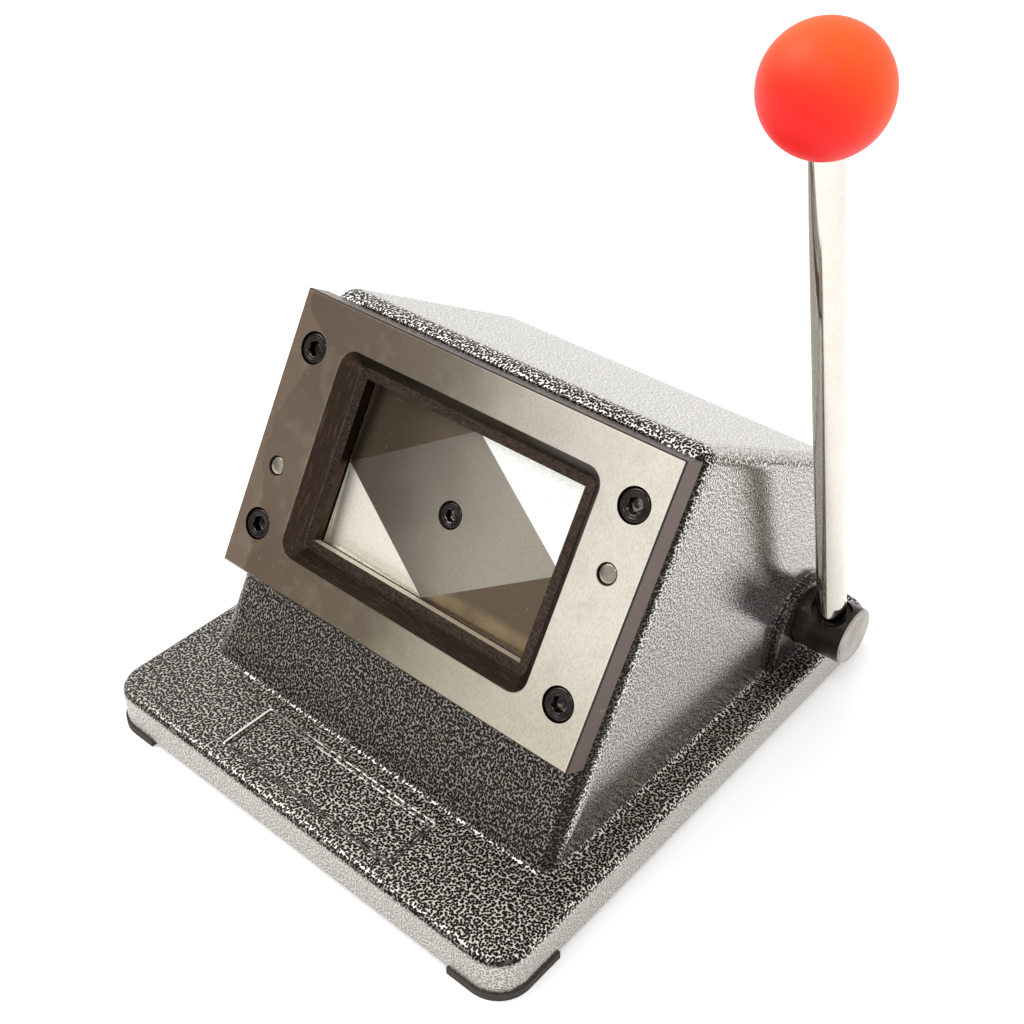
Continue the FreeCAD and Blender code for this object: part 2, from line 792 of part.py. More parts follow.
def ram():
    """The round ram: dowel and screw holes in front, a fork for the roller behind."""
    stem = rod_z(ram_diameter, ram_end, punch_back)
    fork_gap = roller_width + 2 * fork_play
    fork_floor = roller_centre + roller_diameter / 2 + fork_play
    fork_corner = Vector(-fork_gap / 2, -ram_diameter, ram_end - 1)
    fork = box(fork_corner, Vector(fork_gap / 2, ram_diameter, fork_floor))
    pin_hole = rod_x(roller_pin_size, -ram_diameter, ram_diameter, 0, roller_centre)
    ring_back, ring_front = snap_ring_bounds()
    groove = tube_z(ram_diameter + 1, ram_diameter - 2 * snap_ring_depth, ring_back, ring_front)
    thread_end = punch_face - punch_screw_size - punch_screw_length - hole_play
    thread = rod_z(punch_screw_size, thread_end, punch_back + 1)
    pin = rod_z(punch_pin_size, punch_back - punch_pin_length / 2, punch_back + 1)
    pins = [moved(pin, side * punch_pin_spread / 2, 0) for side in (-1, 1)]
    for tool in [fork, pin_hole, groove, thread] + pins:
        stem = stem.cut(tool)
    return on_face(stem)


def guide_bush():
    """The bronze bush that guides the ram; its proud end stops the ram at full stroke."""
    bore = ram_diameter + 2 * ram_running_fit
    return on_face(tube_z(bush_diameter, bore, block_back - bush_proud, chamber_back))


def spring_seat():
    """The ring on the ram that the return spring pushes against."""
    return on_face(tube_z(seat_diameter, ram_diameter, seat_back, seat_front))


def seat_snap_ring():
    """The open ring behind the spring seat, in the ram's groove."""
    ring_back, ring_front = snap_ring_bounds()
    outer = ram_diameter + 2 * snap_ring_proud
    ring = tube_z(outer, ram_diameter - 2 * snap_ring_depth, ring_back, ring_front)
    half_gap = snap_ring_gap / 2
    gap = box(Vector(-half_gap, 0, ring_back - 1), Vector(half_gap, outer, ring_front + 1))
    return on_face(ring.cut(gap))


def return_spring():
    """The coil spring round the bush, between the guide block and the spring seat."""
    mean_radius = bush_diameter / 2 + spring_clearance + spring_wire / 2
    reach = spring_length - spring_wire - 2 * spring_end_play
    helix = Part.makeHelix(reach / spring_turns, reach, mean_radius)
    section = Part.Wire(Part.makeCircle(spring_wire / 2, Vector(mean_radius, 0, 0), Vector(0, 1, 0)))
    coil = Part.Wire(helix).makePipeShell([section], True, True)
    return on_face(moved(coil, 0, 0, seat_front + spring_wire / 2 + spring_end_play))


# ---------------------------------------------------------------- follower roller

def follower_roller():
    """The hardened roller that runs on the cam."""
    bore = roller_pin_size + 2 * roller_bush_wall
    half = roller_width / 2
    roller = rod_x(roller_diameter, -half, half).cut(rod_x(bore, -half, half))
    return on_face(moved(roller, 0, 0, roller_centre))


def roller_bush():
    """The bronze bush pressed into the roller."""
    outer = roller_pin_size + 2 * roller_bush_wall
    half = roller_width / 2
    bush = rod_x(outer, -half, half).cut(rod_x(roller_pin_size + 2 * running_fit, -half, half))
    return on_face(moved(bush, 0, 0, roller_centre))


def clip_start():
    """How far out along the roller pin each clip starts."""
    return ram_diameter / 2 + fork_play


def roller_pin():
    """The pin through the ram's fork, grooved for its clips."""
    start = clip_start()
    half = start + clip_thickness + pin_beyond_clip
    pin = rod_x(roller_pin_size, -half, half)
    for side in (-1, 1):
        xs = sorted((side * start, side * (start + clip_thickness)))
        ring = rod_x(roller_pin_size + 1, *xs).cut(rod_x(roller_pin_size - 2 * clip_groove_depth, *xs))
        pin = pin.cut(ring)
    return on_face(moved(pin, 0, 0, roller_centre))


def roller_clips():
    """Two clips that keep the roller pin in the fork."""
    start = clip_start()
    core = roller_pin_size - 2 * clip_groove_depth
    clips = []
    for side in (-1, 1):
        xs = sorted((side * start, side * (start + clip_thickness)))
        clip = rod_x(clip_diameter, *xs).cut(rod_x(core, *xs))
        mouth = box(Vector(xs[0], -core / 2, -clip_diameter), Vector(xs[1], core / 2, 0))
        clips.append(moved(clip.cut(mouth), 0, 0, roller_centre))
    return on_face(Part.makeCompound(clips))


# ---------------------------------------------------------------- cross shaft, cam and collars

def cam_edge_point(angle):
    """The cam's edge at one angle back from rest, so that the ram moves evenly with the lever."""
    reach = shaft_from_face + roller_centre + cam_rise * angle
    # unit vectors along the ram and up the slope, turned back with the lever
    toward = Vector(0, math.cos(angle), -math.sin(angle))
    aside = Vector(0, -math.sin(angle), -math.cos(angle))
    centre = toward * reach + aside * shaft_below_ram
    # the path of the roller's centre, and the way from it to the edge
    path = toward * (cam_rise - shaft_below_ram) + aside * reach
    inward = Vector(0, -path.z, path.y)
    inward.normalize()
    if inward.dot(toward) > 0:
        inward = -inward
    return centre + inward * (roller_diameter / 2 + cam_gap)


def cam():
    """The cam: an evenly rising edge, and a hub for the pin. Its own Y axis points along the ram."""
    margin = math.radians(cam_margin)
    last = math.radians(lever_travel) + margin
    count = 16
    angles = [-margin + (last + margin) * i / (count - 1) for i in range(count)]
    half = cam_width / 2
    edge = [cam_edge_point(a) + Vector(-half, 0, 0) for a in angles]
    curve = Part.BSplineCurve()
    curve.interpolate(edge)
    hub_radius = cam_hub_diameter / 2
    tail = last + math.radians(cam_tail)
    tail_point = Vector(-half, hub_radius * math.cos(tail), -hub_radius * math.sin(tail))
    centre = Vector(-half, 0, 0)
    sides = [
        curve.toShape(),
        Part.makeLine(edge[-1], tail_point),
        Part.makeLine(tail_point, centre),
        Part.makeLine(centre, edge[0]),
    ]
    lobe = Part.Face(Part.Wire(sides)).extrude(Vector(cam_width, 0, 0))
    body = lobe.fuse(rod_x(cam_hub_diameter, -half, cam_hub_length - half))
    body = body.cut(rod_x(shaft_diameter, -cam_width, cam_hub_length))
    body = body.cut(cam_pin_bar(cam_hub_diameter + 2))
    return beside_cam(body)


def cam_pin_bar(length):
    """The spring pin's shape across the cam's hub, in the cam's own frame."""
    return rod_z(cam_pin_size, -length / 2, length / 2, cam_hub_length / 2, 0)


def beside_cam(piece):
    """Move a piece from the cam's own frame to the shaft behind the card's centre."""
    turned = placed(piece, Placement(Vector(0, 0, 0), Rotation(Vector(1, 0, 0), 90)))
    return on_face(moved(turned, 0, -shaft_below_ram, -shaft_from_face))


def cam_pin():
    """The pin that locks the cam to the shaft."""
    return beside_cam(cam_pin_bar(cam_hub_diameter))


def cross_shaft():
    """The round shaft through the housing; the lever rod screws into its right end."""
    left = left_arch_face + shaft_left_inset
    shaft = rod_x(shaft_diameter, left, shaft_right_end, shaft_y, shaft_z)
    rims = [e for e in shaft.Edges if e.BoundBox.XLength < 0.01]
    shaft = shaft.makeChamfer(0.03 * shaft_diameter, rims)
    seat = shaft_diameter / 2 - rod_mouth_depth
    thread = rod_z(rod_thread_size, seat - rod_thread_length - hole_play, seat + 1)
    mouth = rod_z(rod_mouth_diameter, seat, shaft_diameter)
    shaft = shaft.cut(placed(thread.fuse(mouth), lever_frame))
    shaft = shaft.cut(beside_cam(cam_pin_bar(cam_hub_diameter)))
    for hole in collar_screw_bars():
        shaft = shaft.cut(hole)
    return shaft


def shaft_bush(flange_face, side):
    """A flanged bronze bush in a side wall; side is 1 on the right and -1 on the left."""
    arch_face = right_arch_face if side > 0 else left_arch_face
    xs = sorted((flange_face, arch_face - side * outer_lip))
    flange = sorted((flange_face, flange_face - side * shaft_bush_flange))
    bush = rod_x(shaft_bush_diameter, *xs).fuse(rod_x(shaft_bush_flange_diameter, *flange))
    bush = bush.cut(rod_x(shaft_diameter + 2 * running_fit, xs[0] - 10, xs[1] + 10))
    return moved(bush, 0, shaft_y, shaft_z)


def collar_bounds(side):
    """Left and right faces of the collar beside one bush."""
    boss_face = right_boss_face if side > 0 else left_boss_face
    start = boss_face - side * (shaft_bush_flange + collar_gap)
    return sorted((start, start - side * collar_width))


def collar_screw_bars():
    """The set screws' shapes, each down to just inside the shaft's surface."""
    bars = []
    for side in (-1, 1):
        xs = collar_bounds(side)
        middle = (xs[0] + xs[1]) / 2
        bottom = shaft_z + shaft_diameter / 2 - collar_screw_sink
        top = shaft_z + collar_diameter / 2 - collar_screw_sink
        bars.append(rod_z(collar_screw_size, bottom, top, middle, shaft_y))
    return bars


def shaft_collar(side):
    """A set collar that keeps the shaft from sliding along."""
    xs = collar_bounds(side)
    middle = (xs[0] + xs[1]) / 2
    collar = rod_x(collar_diameter, xs[0], xs[1], shaft_y, shaft_z)
    rims = [e for e in collar.Edges if e.BoundBox.XLength < 0.01]
    collar = collar.makeChamfer(0.02 * collar_diameter, rims)
    collar = collar.cut(rod_x(shaft_diameter, xs[0], xs[1], shaft_y, shaft_z))
    return collar.cut(rod_z(collar_screw_size, shaft_z, shaft_z + collar_diameter, middle, shaft_y))


def collar_screws():
    """Two set screws with hexagon sockets, one in each collar."""
    screws = []
    for side, bar in zip((-1, 1), collar_screw_bars()):
        xs = collar_bounds(side)
        top = shaft_z + collar_diameter / 2
        key_floor = top - collar_screw_size * key_depth_ratio
        key = hexagon_bar(key_ratio * collar_screw_size / 2, key_floor, top)
        screws.append(bar.cut(moved(key, (xs[0] + xs[1]) / 2, shaft_y)))
    return Part.makeCompound(screws)


def shaft_end_cap():
    """The plug that closes the shaft's mouth in the left arch."""
    face = left_arch_face
    plug = rod_x(shaft_mouth, face, face + end_cap_thickness, shaft_y, shaft_z)
    rim = [e for e in plug.Edges if abs(e.BoundBox.XMin - face) < 0.01 and e.BoundBox.XLength < 0.01]
    return plug.makeChamfer(0.05 * shaft_diameter, rim)


# ---------------------------------------------------------------- lever

def lever_rod():
    """The bright rod: threaded into the shaft below and into the knob's insert above."""
    bottom = shaft_diameter / 2 - rod_mouth_depth
    top = lever_reach + rod_in_ball - ball_diameter / 2
    rod = rod_z(rod_diameter, bottom, lever_reach - ball_cut_depth())
    rims = [e for e in rod.Edges if e.BoundBox.ZLength < 0.01]
    rod = rod.makeChamfer(0.05 * rod_diameter, rims)
    rod = rod.fuse(rod_z(rod_thread_size, bottom - rod_thread_length, top))
    return placed(rod, lever_frame)


def ball_cut_depth():
    """How far below the ball's centre its flat for the rod lies."""
    return math.sqrt((ball_diameter / 2) ** 2 - (ball_flat_diameter / 2) ** 2)


def ball_knob():
    """The ball, with a flat where the rod meets it and a bore for its insert."""
    ball = Part.makeSphere(ball_diameter / 2, Vector(0, 0, lever_reach))
    flat = lever_reach - ball_cut_depth()
    ball = ball.cut(rod_z(ball_diameter, flat - ball_diameter, flat))
    return placed(ball.cut(rod_z(insert_diameter, flat, flat + insert_length)), lever_frame)


def knob_insert():
    """The threaded brass insert moulded into the ball."""
    flat = lever_reach - ball_cut_depth()
    insert = rod_z(insert_diameter, flat, flat + insert_length)
    top = lever_reach + rod_in_ball - ball_diameter / 2
    return placed(insert.cut(rod_z(rod_thread_size, flat, top)), lever_frame)


# ---------------------------------------------------------------- all pieces

def all_pieces():
    """Every piece by name, in the cutter's frame."""
    pieces = {
        "body_casting": body_casting(),
        "bottom_cover": bottom_cover(),
        "cover_screws": cover_screws(),
        "die_plate": die_plate(),
        "die_screws": die_screws(),
        "dowel_pins": dowel_pins(),
        "stripper_plate": stripper_plate(),
        "stripper_screws": stripper_screws(),
        "punch": punch(),
        "punch_screw": punch_screw(),
        "punch_pins": punch_pins(),
        "ram": ram(),
        "guide_bush": guide_bush(),
        "return_spring": return_spring(),
        "spring_seat": spring_seat(),
        "seat_snap_ring": seat_snap_ring(),
        "follower_roller": follower_roller(),
        "roller_bush": roller_bush(),
        "roller_pin": roller_pin(),
        "roller_clips": roller_clips(),
        "cam": cam(),
        "cam_pin": cam_pin(),
        "cross_shaft": cross_shaft(),
        "shaft_bush_right": shaft_bush(right_boss_face, 1),
        "shaft_bush_left": shaft_bush(left_boss_face, -1),
        "shaft_collar_right": shaft_collar(1),
        "shaft_collar_left": shaft_collar(-1),
        "collar_screws": collar_screws(),
        "shaft_end_cap": shaft_end_cap(),
        "lever_rod": lever_rod(),
        "ball_knob": ball_knob(),
        "knob_insert": knob_insert(),
    }
    for side_x, x_name in ((-1, "left"), (1, "right")):
        for side_y, y_name in ((-1, "front"), (1, "rear")):
            pieces["foot_" + y_name + "_" + x_name] = rubber_foot(side_x, side_y)
    return pieces


os.makedirs("parts", exist_ok=True)
for name, shape in all_pieces().items():
    shape.translate(-outline_middle)
    shape.exportStep("parts/" + name + ".step")
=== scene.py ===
import math
import bpy
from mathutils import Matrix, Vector


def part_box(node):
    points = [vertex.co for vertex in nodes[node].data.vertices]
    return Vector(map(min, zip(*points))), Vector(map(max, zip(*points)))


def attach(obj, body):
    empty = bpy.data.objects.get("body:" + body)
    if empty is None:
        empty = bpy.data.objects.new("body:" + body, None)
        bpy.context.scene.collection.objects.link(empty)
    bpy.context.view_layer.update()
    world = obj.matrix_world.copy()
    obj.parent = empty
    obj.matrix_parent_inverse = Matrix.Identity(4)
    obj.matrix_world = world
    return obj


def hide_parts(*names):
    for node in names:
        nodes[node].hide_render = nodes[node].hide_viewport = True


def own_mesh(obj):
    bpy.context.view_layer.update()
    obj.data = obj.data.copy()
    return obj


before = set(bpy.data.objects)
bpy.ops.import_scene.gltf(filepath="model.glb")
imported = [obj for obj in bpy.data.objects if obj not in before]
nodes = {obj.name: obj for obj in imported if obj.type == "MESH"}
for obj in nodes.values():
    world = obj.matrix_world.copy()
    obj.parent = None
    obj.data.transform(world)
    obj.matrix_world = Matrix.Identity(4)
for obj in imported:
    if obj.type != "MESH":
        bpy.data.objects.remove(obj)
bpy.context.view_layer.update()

bpy.ops.object.select_all(action="DESELECT")
print("frame loaded:", len(nodes), "nodes")


def mm(value):
    return value / 1000


def tone(red, green, blue):
    # a screen colour, 0 to 255, as the linear colour that a shader wants
    linear = [
        ((level / 255 + 0.055) / 1.055) ** 2.4 if level > 10 else level / 3294.6
        for level in (red, green, blue)
    ]
    return (*linear, 1.0)


# where the sloping face is: the die plate's middle, its tilt and its outward direction
faceTilt = math.radians(60)
faceOut = Vector((0, -math.sin(faceTilt), math.cos(faceTilt)))
plateLow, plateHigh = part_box("die_plate")
plateThickness = mm(9.5)
faceOrigin = (plateLow + plateHigh) / 2 - faceOut * plateThickness / 2


# small helpers for building materials

def newMaterial(name, **sockets):
    material = bpy.data.materials.new(name)
    material.use_nodes = True
    shader = material.node_tree.nodes["Principled BSDF"]
    for socket, value in sockets.items():
        shader.inputs[socket.replace("_", " ")].default_value = value
    return material


def addNode(material, kind, inputs=None, **settings):
    node = material.node_tree.nodes.new(kind)
    for key, value in settings.items():
        setattr(node, key, value)
    for key, value in (inputs or {}).items():
        if isinstance(value, bpy.types.NodeSocket):
            material.node_tree.links.new(value, node.inputs[key])
        else:
            node.inputs[key].default_value = value
    return node


def toShader(material, socket, output):
    shader = material.node_tree.nodes["Principled BSDF"]
    material.node_tree.links.new(output, shader.inputs[socket])


def objectPlace(material):
    return addNode(material, "ShaderNodeTexCoord").outputs["Object"]


def facePlace(material):
    # u along the plate, v up the slope and d out of the face, in metres, from the plate's middle
    mapping = addNode(
        material, "ShaderNodeMapping",
        {"Vector": objectPlace(material), "Location": faceOrigin, "Rotation": (faceTilt, 0, 0)},
        vector_type="TEXTURE",
    )
    return mapping.outputs["Vector"]


def axesOf(material, vector):
    return addNode(material, "ShaderNodeSeparateXYZ", {"Vector": vector}).outputs


def calc(material, operation, a, b=0.5, c=0.5):
    node = addNode(material, "ShaderNodeMath", operation=operation)
    for socket, value in zip(node.inputs, (a, b, c)):
        if isinstance(value, bpy.types.NodeSocket):
            material.node_tree.links.new(value, socket)
        else:
            socket.default_value = value
    return node.outputs["Value"]


def times(material, first, *others):
    product = first
    for other in others:
        product = calc(material, "MULTIPLY", product, other)
    return product


def plus(material, a, b):
    return calc(material, "ADD", a, b)


def minus(material, a, b):
    return calc(material, "SUBTRACT", a, b)


def unsigned(material, a):
    return calc(material, "ABSOLUTE", a)


def distance(material, a, b):
    # how far a point lies from the axis that it is a and b away from
    return calc(material, "SQRT", plus(material, times(material, a, a), times(material, b, b)))


def fade(material, value, start, end, low=0.0, high=1.0):
    # a smooth step from low to high as value goes from start to end
    node = addNode(
        material, "ShaderNodeMapRange",
        {"Value": value, "From Min": start, "From Max": end, "To Min": low, "To Max": high},
        interpolation_type="SMOOTHSTEP",
    )
    return node.outputs["Result"]


def noise(material, place, scale, detail=2.0, roughness=0.5, stretch=None, turn=0.0):
    if stretch:
        mapping = addNode(
            material, "ShaderNodeMapping",
            {"Vector": place, "Scale": stretch, "Rotation": (0, 0, turn)},
        )
        place = mapping.outputs["Vector"]
    node = addNode(
        material, "ShaderNodeTexNoise",
        {"Vector": place, "Scale": scale, "Detail": detail, "Roughness": roughness},
    )
    return node.outputs["Fac"]


def drift(material, place, scale, detail, reach):
    # noise about nought, reach wide
    return times(material, minus(material, noise(material, place, scale, detail), 0.5), reach)


def mixTones(material, factor, first, second, blend="MIX"):
    node = addNode(material, "ShaderNodeMix", data_type="RGBA", blend_type=blend)
    factorSocket, firstSocket, secondSocket = node.inputs["Factor"], node.inputs[6], node.inputs[7]
    for socket, value in ((factorSocket, factor), (firstSocket, first), (secondSocket, second)):
        if isinstance(value, bpy.types.NodeSocket):
            material.node_tree.links.new(value, socket)
        else:
            socket.default_value = value
    return node.outputs[2]


def ramp(material, value, stops):
    node = addNode(material, "ShaderNodeValToRGB", {"Fac": value})
    elements = node.color_ramp.elements
    elements[0].position, elements[0].color = stops[0]
    elements[1].position, elements[1].color = stops[-1]
    for position, colour in stops[1:-1]:
        elements.new(position).color = colour
    return node.outputs["Color"]


def bump(material, height, depth, strength=1.0):
    node = addNode(
        material, "ShaderNodeBump",
        {"Height": height, "Distance": depth, "Strength": strength},
    )
    return node.outputs["Normal"]


# hammered paint of the casting

hammeredPaint = {
    "levelCell": mm(0.82),       # spacing of the dark cells where the paint lay level
    "steepCell": mm(0.72),       # and where it ran down a wall
    "warp": (0.9, 0.7),          # scale and reach of the pull on the cells
    "uneven": (0.6, 0.25),       # scale and reach of the change in their size
    "ragged": (2.2, 0.6),        # scale and reach of their frayed edges
    "cellEdge": (0.44, 0.63),    # where a cell's tone turns into the vein's
    "uprightShift": 0.14,        # cells are smaller on upright walls
    "vein": tone(216, 210, 198),
    "leftVein": tone(180, 176, 168),
    "leftVeinFrom": (mm(10), mm(-80)),
    # painted highlight: the top of the ridge gets paler veins
    "ridgeVein": tone(240, 236, 227),
    "ridgeFrom": (mm(90), mm(118)),
    "cell": tone(8, 7, 6),
    "leftCell": tone(66, 62, 55),
    "leftCellFrom": (mm(40), mm(-90)),
    "leftCellShare": 0.35,
    # painted light and shade: each zone's tones stand for how light falls on that facing
    "front": (tone(144, 137, 127), tone(5, 4, 3)),     # vein and cell of each zone
    "side": (tone(199, 196, 191), tone(60, 56, 53)),
    "arch": (tone(104, 98, 92), tone(20, 18, 16)),
    "corner": (tone(84, 77, 70), tone(6, 5, 4)),
    "back": (tone(208, 205, 200), tone(132, 129, 124)),
    "rim": (tone(194, 190, 182), tone(122, 117, 112)),
    "relief": mm(0.075),
    "sideRelief": 0.35,          # share of the relief that is left on the side walls
    "roughness": (0.38, 0.13),   # in general, and on the side walls
    "slabTop": mm(14.4),
    "middle": mm(-7.9),          # of the housing, along x
    "archFrom": mm(74.0),        # how far out from it the arches begin
    "archHigh": mm(52),
}


def paintPlace(material, x, y, z, level, sideways, look):
    # the pattern's two directions follow the surface: x, y on top, y, z on a side, x, z in front
    def either(factor, a, b):
        mix = addNode(material, "ShaderNodeMix", {"Factor": factor, "A": a, "B": b})
        return mix.outputs["Result"]

    across = either(level, either(sideways, x, y), x)
    along = either(level, z, y)
    inMillimetres = 1000.0
    spacing = fade(
        material, level, 0.4, 0.6,
        look["steepCell"] * inMillimetres, look["levelCell"] * inMillimetres,
    )
    flat = addNode(material, "ShaderNodeCombineXYZ", {"X": across, "Y": along})
    cellsPerMetre = calc(material, "DIVIDE", inMillimetres, spacing)
    scaled = addNode(
        material, "ShaderNodeVectorMath",
        {0: flat.outputs["Vector"], "Scale": cellsPerMetre}, operation="SCALE",
    )
    return scaled.outputs[0]


def paintCells(material, place, look):
    # round cells of uneven size, a little pulled about
    def vectorMath(operation, inputs):
        return addNode(material, "ShaderNodeVectorMath", inputs, operation=operation).outputs[0]

    warpScale, warpReach = look["warp"]
    warp = addNode(
        material, "ShaderNodeTexNoise", {"Vector": place, "Scale": warpScale, "Detail": 2.0},
    )
    pull = vectorMath("SUBTRACT", {0: warp.outputs["Color"], 1: (0.5, 0.5, 0.5)})
    pull = vectorMath("SCALE", {0: pull, "Scale": warpReach})
    cells = addNode(
        material, "ShaderNodeTexVoronoi",
        {"Vector": vectorMath("ADD", {0: place, 1: pull}), "Scale": 1.0, "Randomness": 0.9},
        voronoi_dimensions="2D",
    )
    unevenScale, unevenReach = look["uneven"]
    raggedScale, raggedReach = look["ragged"]
    uneven = drift(material, place, unevenScale, 2.0, unevenReach)
    ragged = drift(material, place, raggedScale, 1.0, raggedReach)
    return plus(material, cells.outputs["Distance"], plus(material, uneven, ragged))


def makeHammeredPaint(look):
    paint = newMaterial("hammeredPaint", Metallic=0.85, Coat_Weight=0.16, Coat_Roughness=0.08)
    place = objectPlace(paint)
    x, y, z = axesOf(paint, place)[0:3]
    nx, ny, nz = axesOf(paint, addNode(paint, "ShaderNodeNewGeometry").outputs["Normal"])[0:3]
    level = calc(paint, "GREATER_THAN", nz, 0.7)
    sideways = calc(paint, "GREATER_THAN", unsigned(paint, nx), 0.7)
    cells = paintCells(paint, paintPlace(paint, x, y, z, level, sideways, look), look)

    # where each tone of the paint lies; the zones by facing are painted light and shade: darker on
    # the front, its corner and the arches, lighter on the side and back walls and the base's rim
    slabTop, archHigh = look["slabTop"], look["archHigh"]
    front = fade(paint, ny, -0.3, -0.8)
    side = fade(paint, unsigned(paint, nx), 0.85, 0.97)
    back = fade(paint, ny, 0.2, 0.42)
    outward = unsigned(paint, minus(paint, x, look["middle"]))
    arch = times(
        paint,
        fade(paint, outward, look["archFrom"], look["archFrom"] + mm(0.8)),
        fade(paint, z, slabTop + mm(2.2), slabTop + mm(3.4)),
        fade(paint, z, archHigh, archHigh - mm(2)),
    )
    corner = times(
        paint,
        fade(paint, ny, -0.15, -0.3),
        fade(paint, nx, 0.25, 0.4),
        fade(paint, nx, 0.9, 0.8),
    )
    below = fade(paint, z, slabTop + mm(1.2), slabTop - mm(1.2))
    rim = times(paint, below, fade(paint, nz, 0.55, 0.3))
    toLeft = fade(paint, x, *look["leftCellFrom"], 0.0, look["leftCellShare"])
    cell = mixTones(paint, toLeft, look["cell"], look["leftCell"])
    vein = mixTones(paint, fade(paint, x, *look["leftVeinFrom"]), look["vein"], look["leftVein"])
    # painted highlight: paler veins along the top of the ridge
    vein = mixTones(paint, fade(paint, z, *look["ridgeFrom"]), vein, look["ridgeVein"])
    for mask, zone in (
        (front, look["front"]), (side, look["side"]), (arch, look["arch"]),
        (corner, look["corner"]), (back, look["back"]), (rim, look["rim"]),
    ):
        zoneVein, zoneCell = zone
        vein = mixTones(paint, mask, vein, zoneVein)
        cell = mixTones(paint, mask, cell, zoneCell)
    upright = calc(paint, "MAXIMUM", calc(paint, "MAXIMUM", side, back), rim)
    light = plus(paint, cells, fade(paint, upright, 0.0, 1.0, 0.0, look["uprightShift"]))
    colour = mixTones(paint, fade(paint, light, *look["cellEdge"]), cell, vein)
    toShader(paint, "Base Color", colour)
    toShader(paint, "Roughness", fade(paint, side, 0.0, 1.0, *look["roughness"]))
    height = times(paint, cells, fade(paint, side, 0.0, 1.0, 1.0, look["sideRelief"]))
    relief = bump(paint, height, look["relief"])
    toShader(paint, "Normal", relief)
    toShader(paint, "Coat Normal", relief)
    return paint


# ground and stained steel of the die plate

groundSteel = {
    # the top's tones from left to right are painted reflection: dark brown on the left, near white
    # on the right
    "left": tone(124, 109, 95),
    "middle": tone(128, 118, 104),
    "middleAt": 0.42,             # share of the way from left to right
    "pale": tone(191, 183, 169),
    "paleAt": 0.72,
    "right": tone(230, 224, 211),
    "leftToRight": (mm(-74), mm(70)),
    "cloud": (55, mm(22)),        # scale and reach of the drift of those tones
    "low": tone(196, 188, 170),   # toward the lower edge
    "lowFrom": (mm(-5), mm(-42)),
    "lowShare": 0.55,
    "high": tone(78, 66, 54),     # toward the upper left corner
    "highShare": 0.3,
    "pore": tone(88, 78, 68),
    "poreShare": 0.26,
    "speck": tone(214, 204, 186),
    "speckShare": 0.5,
    "stain": tone(138, 119, 102),
    "stainShare": 0.7,
    "shore": (mm(-64), mm(-64.7)),
    "puddle": (38, mm(26)),       # scale and reach of the shore's bends
    "side": tone(98, 83, 76),
    # painted shade, for the dowels' rings and the sides' top chamfer
    "edge": tone(60, 52, 50),
    "wall": tone(54, 43, 36),
    "scuff": tone(98, 84, 72),
    "scuffShare": 0.42,
    "worn": tone(112, 98, 90),
    "wornShare": 0.6,
    "land": tone(66, 52, 40),
    "landHalf": mm(46.1),
    "landHeight": mm(3.5),
    "paintedReflectionLip": tone(176, 166, 148),   # painted reflection: the lower land painted pale and hardly metallic
    "lipFrom": (mm(-27.2), mm(-27.3)),
    "lipTo": (mm(-28.3), mm(-28.1)),
    "lipMetal": 0.1,
    "streak": tone(44, 36, 33),
    "streakShare": 0.35,
    "mottle": tone(168, 160, 142),
    "mottleShare": 0.16,
    "rust": tone(196, 150, 104),
    "rustShare": 0.45,
    "roughness": (0.3, 0.44),
    "relief": mm(0.008),
    "reliefStrength": 0.5,
    "windowHalf": (mm(51), mm(34.9)),
    "pinAt": (mm(62.2), mm(9.7)),
    "pinRadius": mm(3.0),
}


def specks(material, place, strength):
    # a few tiny nicks that catch the light
    nicks = addNode(
        material, "ShaderNodeTexVoronoi",
        {"Vector": place, "Scale": 230.0, "Randomness": 1.0},
    )
    return fade(material, nicks.outputs["Distance"], 0.055, 0.03, 0.0, strength)


def plateTop(steel, look, place, u, v, grain):
    cloudScale, cloudReach = look["cloud"]
    puddleScale, puddleReach = look["puddle"]
    drifted = plus(steel, u, drift(steel, place, cloudScale, 3.0, cloudReach))
    # painted reflection: the top darkens to brown on the left and brightens to near white on the
    # right
    across = fade(steel, drifted, *look["leftToRight"])
    top = ramp(steel, across, [
        (0.0, look["left"]), (look["middleAt"], look["middle"]),
        (look["paleAt"], look["pale"]), (1.0, look["right"]),
    ])
    lowered = mixTones(steel, 1.0, top, look["low"], "MULTIPLY")
    top = mixTones(steel, fade(steel, v, *look["lowFrom"], 0.0, look["lowShare"]), top, lowered)
    highLeft = times(steel, fade(steel, v, mm(-12), mm(30)), fade(steel, u, mm(15), mm(-45)))
    top = mixTones(steel, times(steel, highLeft, look["highShare"]), top, look["high"])

    # a dried puddle's outline near the left edge
    shore = plus(steel, u, drift(steel, place, puddleScale, 2.0, puddleReach))
    stained = fade(steel, shore, *look["shore"], 0.0, look["stainShare"])
    top = mixTones(steel, stained, top, look["stain"])

    # pores, mottling, spots of rust and nicks
    mottle = noise(steel, place, 140, 4.0, 0.6)
    spots = noise(steel, place, 210, 3.0, 0.6)
    for mask, layer in (
        (fade(steel, grain, 0.35, 0.75, 0.0, look["poreShare"]), "pore"),
        (fade(steel, mottle, 0.48, 0.7, 0.0, look["mottleShare"]), "mottle"),
        (fade(steel, spots, 0.68, 0.78, 0.0, look["rustShare"]), "rust"),
        (specks(steel, place, look["speckShare"]), "speck"),
    ):
        top = mixTones(steel, mask, top, look[layer])

    # painted shade: a dark ring round each dowel, in the gap of its hole
    pinU, pinV = look["pinAt"]
    besideU = minus(steel, unsigned(steel, u), pinU)
    besideV = minus(steel, v, times(steel, calc(steel, "SIGN", u), pinV))
    away = distance(steel, besideU, besideV)
    paintedShadeRing = fade(steel, away, look["pinRadius"] + mm(0.45), look["pinRadius"] + mm(0.2))
    return mixTones(steel, paintedShadeRing, top, look["edge"])


